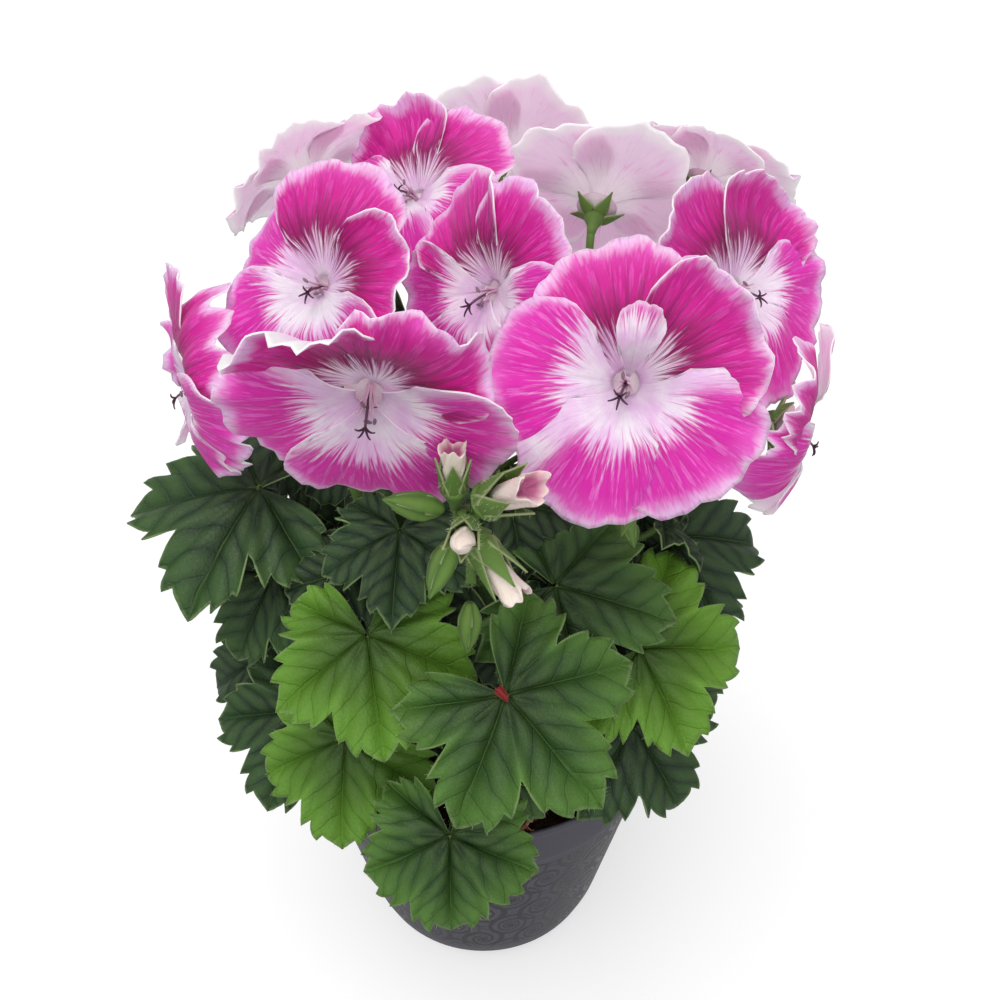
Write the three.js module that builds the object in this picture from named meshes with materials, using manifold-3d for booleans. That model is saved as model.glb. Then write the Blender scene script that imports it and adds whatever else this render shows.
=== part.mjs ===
// Potted regal pelargonium in bloom: a tapered plastic pot, soil, six leafy stems, flowers and buds.
// Millimetres, +Z up, origin at the centre of the pot's base, front of the plant towards -Y.
import * as THREE from "three";
import { mergeVertices } from "three/addons/utils/BufferGeometryUtils.js";
import Module from "manifold-3d";

const wasm = await Module();
wasm.setup();

// Pot: a 12 cm nursery pot.
const RIM_RADIUS = 60;
const POT_HEIGHT = 86;
const BAND_HEIGHT = 17; // plain band under the rim
const BAND_STEP = 1.1; // how far the band stands out from the wall below it
const WALL = 1.5;
const LOW_SIDE_RADIUS = 43.5; // where the side meets the rounded bottom corner
const LOW_SIDE_HEIGHT = 13;
const FOOT_RADIUS = 35; // flat ring that the pot stands on
const FLOOR = 3;
const BAND_FLARE = 2.3; // how much wider the band is at the rim than at its lower edge
const POT_SIDES = 36;
const DRAIN_HOLES = 6;
const DRAIN_RADIUS = 3.5;
const DRAIN_SIDES = 10;
const DRAIN_CIRCLE = 24;

// Soil and the clearances between touching pieces.
const SOIL_BELOW_RIM = 9;
const SOIL_TOP = POT_HEIGHT - SOIL_BELOW_RIM;
const SOIL_EDGE_DROP = 2;
const CLEARANCE = 0.3;
const STEM_HOLE_DEPTH = 24;
const STEM_HOLE_SIDES = 8;

// Plant.
const STEM_RADIUS = 3.1;
const STEM_TOP_RADIUS = 2.2;
const PEDUNCLE_RADIUS = 1.5; // the flower head's stalk
const PEDICEL_RADIUS = 0.85; // one flower's stalk
const PETIOLE_RADIUS = 0.95; // a leaf's stalk
const UMBEL_RADIUS = 3; // the knob where a head's flower stalks meet
const LEAF_THICKNESS = 0.7;
const PETAL_THICKNESS = 0.6;
const PETAL_LENGTH = 30;

// Leaf outline: five lobes over an open fan, each lobe with three teeth. Shares are of the leaf's length.
const LEAF_HALF_ANGLE = 155;
const LEAF_SPOKES = 10;
const SPOKES_PER_LOBE = 2;
const EDGE_PER_SPOKE = 3;
const LEAF_EDGE_COUNT = LEAF_SPOKES * EDGE_PER_SPOKE;
const TOOTH = 0.055;
const BASE_NARROWING = 0.36; // how much shorter the lobes beside the stalk are than the middle lobe
const INNER_SHARE = 0.5; // where the blade's inner ring of points lies between its centre and edge
const INNER_LOBING = 0.15;

const COLOURS = {
  pot: [0x2b2b31, 0.5],
  soil: [0x2a1d14, 0.95],
  leafy: [0x3f7a2c, 0.6],
  bloom: [0xe27cc8, 0.55],
  bud: [0xf0cfdc, 0.6],
  roots: [0x8a6038, 0.9],
};

// Directions

const degrees = THREE.MathUtils.degToRad;
const vec = (x, y, z) => new THREE.Vector3(x, y, z);

// Frame of a blade or flower whose upper face looks along azimuth az (0 is -Y, positive towards +X)
// and elevation el; its own +Y lies down the slope, turned by spin towards a viewer's right.
function facing(az, el, spin) {
  const a = degrees(az);
  const e = degrees(el);
  const normal = vec(Math.sin(a) * Math.cos(e), -Math.cos(a) * Math.cos(e), Math.sin(e));
  const down = vec(Math.sin(a) * Math.sin(e), -Math.cos(a) * Math.sin(e), -Math.cos(e));
  const right = vec(Math.cos(a), Math.sin(a), 0);
  const s = degrees(spin);
  const tip = down.multiplyScalar(Math.cos(s)).addScaledVector(right, Math.sin(s));
  const side = tip.clone().cross(normal);
  return { normal, tip, side };
}

function placed(frame, at, x, y, z) {
  return at
    .clone()
    .addScaledVector(frame.side, x)
    .addScaledVector(frame.tip, y)
    .addScaledVector(frame.normal, z);
}

// Solids

function solidFrom(position, index) {
  return new wasm.Manifold(
    new wasm.Mesh({
      numProp: 3,
      vertProperties: new Float32Array(position),
      triVerts: new Uint32Array(index),
    }),
  );
}

function solidOf(geometry) {
  const bare = geometry.clone();
  bare.deleteAttribute("normal");
  bare.deleteAttribute("uv");
  const merged = mergeVertices(bare, 1e-4);
  return solidFrom(merged.attributes.position.array, merged.index.array);
}

function fuse(solids) {
  return solids.reduce((all, next) => all.add(next));
}

function meshOf(solid, name, look) {
  const made = solid.getMesh();
  const geometry = new THREE.BufferGeometry();
  geometry.setAttribute("position", new THREE.BufferAttribute(made.vertProperties, 3));
  geometry.setIndex(new THREE.BufferAttribute(made.triVerts, 1));
  const [color, roughness] = look;
  const material = new THREE.MeshStandardMaterial({ color, roughness, metalness: 0, flatShading: true });
  const mesh = new THREE.Mesh(geometry, material);
  mesh.name = name;
  return mesh;
}

// The surface of a thin blade made from one curved face: the face is laid twice, half a thickness to
// either side, with the same triangles, and a wall joins the two along the border, which runs
// anticlockwise. An open root has no wall along the border's first edge.
function bladeSurface(points, faces, border, thickness, openRoot) {
  const normals = points.map(() => vec(0, 0, 0));
  for (const [a, b, c] of faces) {
    const cross = points[b].clone().sub(points[a]).cross(points[c].clone().sub(points[a]));
    for (const i of [a, b, c]) normals[i].add(cross);
  }
  const position = [];
  for (const half of [thickness / 2, -thickness / 2]) {
    points.forEach((p, i) => {
      position.push(...p.clone().addScaledVector(normals[i].clone().normalize(), half).toArray());
    });
  }
  const under = points.length;
  const index = faces.flat();
  for (const [a, b, c] of faces) index.push(a + under, c + under, b + under);
  border.forEach((a, i) => {
    const b = border[(i + 1) % border.length];
    if (i > 0 || !openRoot) index.push(a, a + under, b + under, a, b + under, b);
  });
  return { position, index };
}

// Triangles of the wall between two rings of vertex numbers, both anticlockwise seen from the second.
function wall(from, to) {
  return from.flatMap((a, k) => {
    const next = (k + 1) % from.length;
    return [a, from[next], to[next], a, to[next], to[k]];
  });
}

function cap(ring) {
  const fan = [];
  for (let k = 1; k < ring.length - 1; k++) fan.push(ring[0], ring[k], ring[k + 1]);
  return fan;
}

function ringNumbers(count, start) {
  return Array.from({ length: count }, (_, k) => start + k);
}

// A closed body through rings of points, each ring anticlockwise seen from the last one's side.
function ringed(rings) {
  const sides = rings[0].length;
  const position = rings.flat().flatMap((p) => p.toArray());
  const numbers = rings.map((_, i) => ringNumbers(sides, i * sides));
  const index = [...cap([...numbers[0]].reverse()), ...cap(numbers.at(-1))];
  for (let i = 1; i < rings.length; i++) index.push(...wall(numbers[i - 1], numbers[i]));
  return solidFrom(position, index);
}

// Rings of points round a curve, the radius running evenly from one end to the other.
function tubeRings(curve, startRadius, endRadius, sides, steps) {
  const frames = curve.computeFrenetFrames(steps, false);
  return ringNumbers(steps + 1, 0).map((i) => {
    const centre = curve.getPointAt(i / steps);
    const radius = THREE.MathUtils.lerp(startRadius, endRadius, i / steps);
    return ringNumbers(sides, 0).map((k) => {
      const turn = (2 * Math.PI * k) / sides;
      return centre
        .clone()
        .addScaledVector(frames.normals[i], radius * Math.cos(turn))
        .addScaledVector(frames.binormals[i], radius * Math.sin(turn));
    });
  });
}

// A ring of points round a flower's axis; with points between petals it starts half a step round.
function axisRing(frame, centre, radius, height, sides) {
  return ringNumbers(sides, 0).map((k) => {
    const turn = (-2 * Math.PI * (k + 0.5)) / sides;
    return placed(frame, centre, radius * Math.sin(turn), radius * Math.cos(turn), height);
  });
}

// Small repeatable random numbers between 0 and 1.
function seededRandom(seed) {
  let state = seed * 7919 + 1;
  return () => {
    state = (state * 16807) % 2147483647;
    return state / 2147483647;
  };
}

// Pot and soil

const BAND_RADIUS = RIM_RADIUS - BAND_FLARE;
const SIDE_TOP_RADIUS = BAND_RADIUS - BAND_STEP;
const BAND_BOTTOM = POT_HEIGHT - BAND_HEIGHT;

function lathed(profile) {
  const points = profile.map(([r, z]) => new THREE.Vector2(r, z));
  return solidOf(new THREE.LatheGeometry(points, POT_SIDES).rotateX(Math.PI / 2));
}

function upright(radius, sides, [x, y], low, high) {
  const bar = new THREE.CylinderGeometry(radius, radius, high - low, sides).rotateX(Math.PI / 2);
  return solidOf(bar.translate(x, y, (low + high) / 2));
}

function makePot() {
  const body = lathed([
    [0, 0],
    [FOOT_RADIUS, 0],
    [FOOT_RADIUS + 5.5, LOW_SIDE_HEIGHT * 0.4],
    [LOW_SIDE_RADIUS, LOW_SIDE_HEIGHT],
    [SIDE_TOP_RADIUS, BAND_BOTTOM],
    [BAND_RADIUS, BAND_BOTTOM + BAND_STEP],
    [RIM_RADIUS, POT_HEIGHT],
    [RIM_RADIUS - WALL, POT_HEIGHT],
    [SIDE_TOP_RADIUS - WALL, BAND_BOTTOM],
    [LOW_SIDE_RADIUS - WALL, LOW_SIDE_HEIGHT],
    [FOOT_RADIUS - 1, FLOOR],
    [0, FLOOR],
  ]);
  const holes = ringNumbers(DRAIN_HOLES, 0).map((i) => {
    const turn = (2 * Math.PI * i) / DRAIN_HOLES;
    const at = [DRAIN_CIRCLE * Math.cos(turn), DRAIN_CIRCLE * Math.sin(turn)];
    return upright(DRAIN_RADIUS, DRAIN_SIDES, at, -FLOOR, 2 * FLOOR);
  });
  return body.subtract(fuse(holes));
}

// The soil fills the pot with a gap to its wall, and each stem stands in a plain hole in it.
function makeSoil(stems) {
  const gap = WALL + 2 * CLEARANCE;
  const edge = SOIL_TOP - SOIL_EDGE_DROP;
  const edgeShare = (edge - BAND_BOTTOM) / BAND_HEIGHT;
  const edgeRadius = THREE.MathUtils.lerp(SIDE_TOP_RADIUS, RIM_RADIUS, edgeShare) - gap;
  const body = lathed([
    [0, FLOOR + CLEARANCE],
    [FOOT_RADIUS - 2, FLOOR + CLEARANCE],
    [LOW_SIDE_RADIUS - gap, LOW_SIDE_HEIGHT + CLEARANCE],
    [SIDE_TOP_RADIUS - gap, BAND_BOTTOM],
    [edgeRadius, edge],
    [edgeRadius * 0.72, SOIL_TOP + 0.5],
    [edgeRadius * 0.4, SOIL_TOP],
    [0, SOIL_TOP + 1],
  ]);
  const holeRadius = STEM_RADIUS + 4 * CLEARANCE;
  const holes = stems.map(({ root }) =>
    upright(holeRadius, STEM_HOLE_SIDES, root, SOIL_TOP - STEM_HOLE_DEPTH, POT_HEIGHT),
  );
  return body.subtract(fuse(holes));
}

// Dry roots that lie on the soil and hang over the pot's rim at the front, each a curve that thins
// towards its end and crosses the first one.
const ROOT_RADIUS = 0.7;
const ROOT_TIP_RADIUS = 0.35;
const ROOT_SIDES = 4;
const ROOT_STEPS = 9;
const DRY_ROOTS = [
  [[6, -44, 78], [10, -50, 80.5], [12.6, -57, 86.9], [13.1, -59.8, 86.7], [13.6, -60, 80]],
  [[16, -46, 78.2], [14.5, -51, 85], [12.6, -56.8, 87.2], [9, -58.3, 87], [3, -59.6, 86.9]],
  [[13, -55.8, 86.6], [15.5, -55, 91], [12.6, -56.3, 93.5], [10, -57, 91], [12.2, -56.8, 87]],
];

function makeDryRoots() {
  const strands = DRY_ROOTS.map((path) => {
    const curve = new THREE.CatmullRomCurve3(path.map((p) => vec(...p)));
    return ringed(tubeRings(curve, ROOT_RADIUS, ROOT_TIP_RADIUS, ROOT_SIDES, ROOT_STEPS));
  });
  return fuse(strands);
}

// Leaves

// Outline radius as a share of the leaf's length, at border point i of the fan.
function leafEdge(i, lobing) {
  const halfLobe = (SPOKES_PER_LOBE * EDGE_PER_SPOKE) / 2;
  const middle = LEAF_EDGE_COUNT / 2;
  const away = Math.abs(i - middle) / middle;
  const envelope = 1 - BASE_NARROWING * away ** 2;
  const inLobe = Math.abs((i % (2 * halfLobe)) / halfLobe - 1);
  const tooth = i % 2 === 1 ? TOOTH : -TOOTH;
  return envelope * (1 - lobing * inLobe ** 2 + tooth);
}

// A leaf blade's surface, with sunken main veins, raised folds between them and a drooping rim.
function makeLeaf({ at, face, spin, length, lobing = 0.3, droop = 0.22, pleat = 0.05 }) {
  const frame = facing(face[0], face[1], spin);
  const centre = vec(...at);
  const pointAt = (share, i) => {
    const turn = degrees(LEAF_HALF_ANGLE * ((2 * i) / LEAF_EDGE_COUNT - 1));
    const fold = (i / EDGE_PER_SPOKE) % 2 === 1 ? -1 : 1;
    const onSpoke = i % EDGE_PER_SPOKE === 0 ? fold : 0;
    const height = length * (pleat * onSpoke * share - droop * share ** 2);
    const r = length * share;
    return placed(frame, centre, -r * Math.sin(turn), r * Math.cos(turn), height);
  };
  const inner = ringNumbers(LEAF_SPOKES + 1, 0).map((k) => {
    const i = k * EDGE_PER_SPOKE;
    return pointAt(INNER_SHARE * leafEdge(i, INNER_LOBING), i);
  });
  const outer = ringNumbers(LEAF_EDGE_COUNT + 1, 0).map((i) => pointAt(leafEdge(i, lobing), i));
  const points = [centre, ...inner, ...outer];
  const firstOuter = 1 + inner.length;
  const faces = [];
  for (let k = 0; k < LEAF_SPOKES; k++) {
    const m = 1 + k;
    const o = firstOuter + k * EDGE_PER_SPOKE;
    faces.push([0, m, m + 1], [m, o, o + 1], [m, o + 1, m + 1]);
    faces.push([m + 1, o + 1, o + 2], [m + 1, o + 2, o + 3]);
  }
  const border = [0, 1, ...ringNumbers(outer.length, firstOuter), inner.length];
  const surface = bladeSurface(points, faces, border, LEAF_THICKNESS, false);
  return { ...surface, frame, centre, under: points.length };
}

const PETIOLE_STEPS = 3;

// A leaf with its stalk, which grows from the blade's underside by the open side of the fan: the
// stalk's first ring is the underside's centre and three points round it, and takes the place of the
// underside's innermost triangles.
function makeLeafOnStem(stem, leaf) {
  const { position, index, frame, centre, under } = makeLeaf(leaf);
  const rootRadius = 1.2 * PETIOLE_RADIUS;
  const root = placed(frame, centre, 0, rootRadius, -LEAF_THICKNESS / 2);
  const joint = stem.curve.getPointAt(leaf.from);
  const reach = centre.distanceTo(joint);
  const back = placed(frame, root, 0, 0, -0.3 * reach);
  const low = joint.clone().lerp(centre, 0.35).add(vec(0, 0, 0.12 * reach));
  const stalk = new THREE.CubicBezierCurve3(root, back, low, joint);
  const kept = [];
  for (let i = 0; i < index.length; i += 3) {
    const corners = index.slice(i, i + 3);
    const innermost = corners.includes(under) && corners.every((c) => c >= under);
    if (!innermost) kept.push(...corners);
  }
  const left = position.length / 3;
  const front = left + 1;
  const right = left + 2;
  position.push(...placed(frame, root, rootRadius, 0, 0).toArray());
  position.push(...placed(frame, root, 0, rootRadius, 0).toArray());
  position.push(...placed(frame, root, -rootRadius, 0, 0).toArray());
  // Fans from each point of the first ring to the inner ring's points, and to the next fan's point.
  const inner = under + 1;
  const fans = [
    { from: under, first: 0, last: 1, next: left },
    { from: left, first: 1, last: 3, next: front },
    { from: front, first: 3, last: 7, next: right },
    { from: right, first: 7, last: 9, next: under },
    { from: under, first: 9, last: LEAF_SPOKES },
  ];
  for (const { from, first, last, next } of fans) {
    for (let k = inner + first; k < inner + last; k++) kept.push(from, k + 1, k);
    if (next !== undefined) kept.push(from, next, inner + last);
  }
  let ring = [under, right, front, left];
  const { tangents } = stalk.computeFrenetFrames(PETIOLE_STEPS, false);
  for (let i = 1; i <= PETIOLE_STEPS; i++) {
    const at = stalk.getPointAt(i / PETIOLE_STEPS);
    const next = ringNumbers(4, position.length / 3);
    squareRing(at, tangents[i], frame.tip, PETIOLE_RADIUS).forEach((p) => position.push(...p.toArray()));
    kept.push(...wall(ring, next));
    ring = next;
  }
  kept.push(...cap(ring));
  return solidFrom(position, kept);
}

// Four points square to a direction, the first one on the far side from the leaf's tip.
function squareRing(at, direction, tip, radius) {
  const across = direction.clone().cross(tip).normalize();
  const up = across.clone().cross(direction).normalize();
  return [
    at.clone().addScaledVector(up, -radius),
    at.clone().addScaledVector(across, -radius),
    at.clone().addScaledVector(up, radius),
    at.clone().addScaledVector(across, radius),
  ];
}

// Flowers

// Height of the open flower's face over its throat, at a share of the petal length and an angle from
// its top: a funnel, then a wide rim that bends back, waves, and leans forward at the flower's top.
const FUNNEL_SHARE = 0.42;
const CUP = 5.6;
const REFLEX = 3;
const WAVES = 3;
const WAVE_HEIGHT = 1.6;

function faceHeight(share, angle, lean, phase) {
  if (share < FUNNEL_SHARE) return (CUP * share) / FUNNEL_SHARE;
  const out = (share - FUNNEL_SHARE) / (1 - FUNNEL_SHARE);
  const forward = (lean * (1 + Math.cos(angle))) / 2;
  return CUP + out * (forward - REFLEX + WAVE_HEIGHT * Math.sin(WAVES * angle + phase));
}

// One petal, a broad fan on a narrow root, with a shoulder at either side of the funnel's edge. Its
// surface is open at the root, where its back's points 0 and 1 and its front's same two lie.
const PETAL_HALF_ANGLE = 56;
const PETAL_ACROSS = [-0.74, -0.38, 0, 0.38, 0.74];
const ROOT_SHARE = 0.09;
const ROOT_ACROSS = 0.4;
const PETAL_POINTS = 14;

function makePetal(frame, centre, { turn, length, lift, lean, phase }) {
  const at = (share, across) => {
    const angle = degrees(turn + across * PETAL_HALF_ANGLE);
    const height = lift + faceHeight(share, angle, lean, phase);
    const r = length * share;
    return placed(frame, centre, -r * Math.sin(angle), -r * Math.cos(angle), height);
  };
  const rimShare = (across) => FUNNEL_SHARE + (1 - FUNNEL_SHARE) * (1 - Math.abs(across) ** 2.8) ** 0.6;
  const ring = [-1, ...PETAL_ACROSS, 1].map((across) => at(FUNNEL_SHARE, across));
  const rim = PETAL_ACROSS.map((across) => at(rimShare(across), across));
  const points = [at(ROOT_SHARE, ROOT_ACROSS), at(ROOT_SHARE, -ROOT_ACROSS), ...ring, ...rim];
  const firstRing = 2;
  const middle = 5;
  const lastRing = 8;
  const firstRim = 9;
  const lastRim = 13;
  const faces = [[0, 1, middle]];
  for (let c = firstRing; c < lastRing; c++) faces.push([c < middle ? 1 : 0, c, c + 1]);
  faces.push([firstRing, firstRim, firstRing + 1], [lastRing, lastRing - 1, lastRim]);
  for (let outer = firstRim; outer < lastRim; outer++) {
    const inner = outer - firstRim + firstRing + 1;
    faces.push([inner, outer, outer + 1], [inner, outer + 1, inner + 1]);
  }
  const border = [0, 1, firstRing, ...ringNumbers(PETAL_ACROSS.length, firstRim), lastRing];
  return bladeSurface(points, faces, border, PETAL_THICKNESS, true);
}

// Five petals in layers round a five-sided throat piece, each open on one of its sides: two at the
// sides, two upper, one below in front, anticlockwise from the right one.
const PETALS = [
  { turn: 109, lift: 2.2 },
  { turn: 37, lift: 1.1 },
  { turn: -36, lift: 0 },
  { turn: -108, lift: 2.2 },
  { turn: 180, lift: 3.3 },
];
const PETAL_SWING = 6; // a petal's random turn
const HUB_RADIUS = 3.2;
const HUB_FRONT_RADIUS = 2.24;
const HUB_BACK = -1.2;
const HUB_FRONT = 5.6;

function makeBloom({ at, face, spin = 0, size = 1, lean = 0, seed }) {
  const frame = facing(face[0], face[1], spin);
  const centre = vec(...at);
  const random = seededRandom(seed);
  const phase = 2 * Math.PI * random();
  const hub = [
    ...axisRing(frame, centre, HUB_RADIUS, HUB_BACK, 5),
    ...axisRing(frame, centre, HUB_FRONT_RADIUS, HUB_FRONT, 5),
  ];
  const position = hub.flatMap((p) => p.toArray());
  const backRing = ringNumbers(5, 0);
  const frontRing = ringNumbers(5, 5);
  const index = [...cap([...backRing].reverse()), ...cap(frontRing)];
  PETALS.forEach(({ turn, lift }, k) => {
    const length = PETAL_LENGTH * size * (0.95 + 0.1 * random());
    const swung = turn + PETAL_SWING * (random() - 0.5);
    const petal = makePetal(frame, centre, { turn: swung, lift, length, lean, phase });
    const first = position.length / 3;
    position.push(...petal.position);
    index.push(...petal.index.map((i) => i + first));
    const n = (k + 1) % 5;
    const root = [0, 1, PETAL_POINTS + 1, PETAL_POINTS].map((i) => i + first);
    index.push(...wall([backRing[k], backRing[n], frontRing[n], frontRing[k]], root));
  });
  return solidFrom(position, index);
}

// The green cup behind a flower or bud, its five pointed sepals and its stalk down to the umbel, as
// one surface: the cup's rim is a ring of notches, and a sepal's tip stands out between each two.
const CUP_LENGTH = 6;
const CUP_TAIL_RADIUS = 1;
const OPEN_CALYX = { notch: 2.2, rim: 2.8, depth: 0.9, tipOut: 11, tipUp: 2.6, back: HUB_BACK - CLEARANCE };
const BUD_CALYX = { notch: 3.8, rim: 4.5, depth: 0.5, tipOut: 4.7, tipUp: 12, back: -CLEARANCE };
const CLOSED_CALYX = { notch: 1.6, rim: 2, depth: 0.5, tipOut: 1.7, tipUp: 0.5, back: 1 };
const STALK_STEPS = 3;

function makeCalyx(umbel, { at, face, spin = 0, size = 1 }, shape, scale) {
  const frame = facing(face[0], face[1], spin);
  const centre = placed(frame, vec(...at), 0, 0, shape.back);
  const ring = (radius, height) => axisRing(frame, centre, radius, height, 5);
  const tail = placed(frame, centre, 0, 0, -CUP_LENGTH);
  const reach = tail.distanceTo(umbel);
  const bendPoint = placed(frame, tail, 0, 0, -0.15 * reach).add(vec(0, 0, -0.35 * reach));
  const low = umbel.clone().lerp(tail, 0.3).add(vec(0, 0, 0.12 * reach));
  const foot = umbel.clone().lerp(low, (0.6 * UMBEL_RADIUS) / umbel.distanceTo(low));
  const stalk = new THREE.CubicBezierCurve3(foot, low, bendPoint, tail);
  const rings = tubeRings(stalk, PEDICEL_RADIUS, PEDICEL_RADIUS, 5, STALK_STEPS).slice(0, -1);
  rings.push(turnedLike(rings.at(-1), ring(CUP_TAIL_RADIUS, -CUP_LENGTH)));
  rings.push(turnedLike(rings.at(-1), ring(shape.rim * scale, -shape.depth)));
  const notches = turnedLike(rings.at(-1), ring(shape.notch * scale, 0));
  const tips = notches.map((p, k) => {
    const out = p.clone().add(notches[(k + 1) % 5]).multiplyScalar(0.5).sub(centre).normalize();
    const tip = centre.clone().addScaledVector(out, shape.tipOut * scale);
    return tip.addScaledVector(frame.normal, shape.tipUp * size);
  });
  const position = [...rings, notches, tips].flat().flatMap((p) => p.toArray());
  const numbers = ringNumbers(rings.length + 2, 0).map((i) => ringNumbers(5, 5 * i));
  const tip = numbers.pop();
  const notch = numbers.pop();
  const rim = numbers.at(-1);
  const index = [...cap([...numbers[0]].reverse()), ...cap(notch)];
  for (let i = 1; i < numbers.length; i++) index.push(...wall(numbers[i - 1], numbers[i]));
  for (let k = 0; k < 5; k++) {
    const n = (k + 1) % 5;
    index.push(notch[k], tip[k], notch[n], rim[k], tip[k], notch[k]);
    index.push(rim[k], rim[n], tip[k], rim[n], notch[n], tip[k]);
  }
  return solidFrom(position, index);
}

// The ring's points in the order that lies nearest to another ring's, so that a wall between them
// doesn't twist.
function turnedLike(model, ring) {
  const orders = ring.map((_, shift) => ring.map((_, k) => ring[(k + shift) % ring.length]));
  const apart = (order) => order.reduce((sum, p, k) => sum + p.distanceToSquared(model[k]), 0);
  return orders.reduce((best, order) => (apart(order) < apart(best) ? order : best));
}

// The wrapped petals of a bud, a seven-sided spindle.
const BUD_RINGS = [[1.5, 0], [3.1, 0.3], [3.3, 0.7], [1.5, 1]];
const BUD_SIDES = 7;
const BUD_LENGTH = 15;
const CLOSED_BUD_SCALE = 1.12; // a green bud's body is wider than its cup, which it hides

function makeBudPetals({ at, face }, size) {
  const frame = facing(face[0], face[1], 0);
  const centre = vec(...at);
  const rings = BUD_RINGS.map(([radius, share]) =>
    axisRing(frame, centre, radius * size, BUD_LENGTH * size * share, BUD_SIDES),
  );
  return ringed(rings);
}

// Where everything grows

// Leaves of the back that follow a rule: tiers round the pot's axis, on its left (side -1) or right.
const TIERS = [
  { height: 108, radius: 60, azimuths: [108, 156], from: 0.4 },
  { height: 137, radius: 66, azimuths: [106, 132, 158], from: 0.65 },
  { height: 171, radius: 64, azimuths: [122, 156], from: 0.9 },
];

const STAGGER = 11; // every second leaf of a tier grows this much higher

function tierLeaves(side, seed) {
  const random = seededRandom(seed);
  const around = (middle, spread) => middle + spread * (random() - 0.5);
  return TIERS.flatMap(({ height, radius, azimuths, from }) =>
    azimuths.map((azimuth, k) => {
      const a = degrees(side * azimuth);
      const r = around(radius, 6);
      const level = height + (k % 2) * STAGGER;
      return {
        at: [r * Math.sin(a), -r * Math.cos(a), around(level, 4)],
        face: [side * azimuth + around(0, 16), around(46, 14)],
        spin: around(0, 26),
        length: around(30, 5),
        from,
      };
    }),
  );
}

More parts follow.
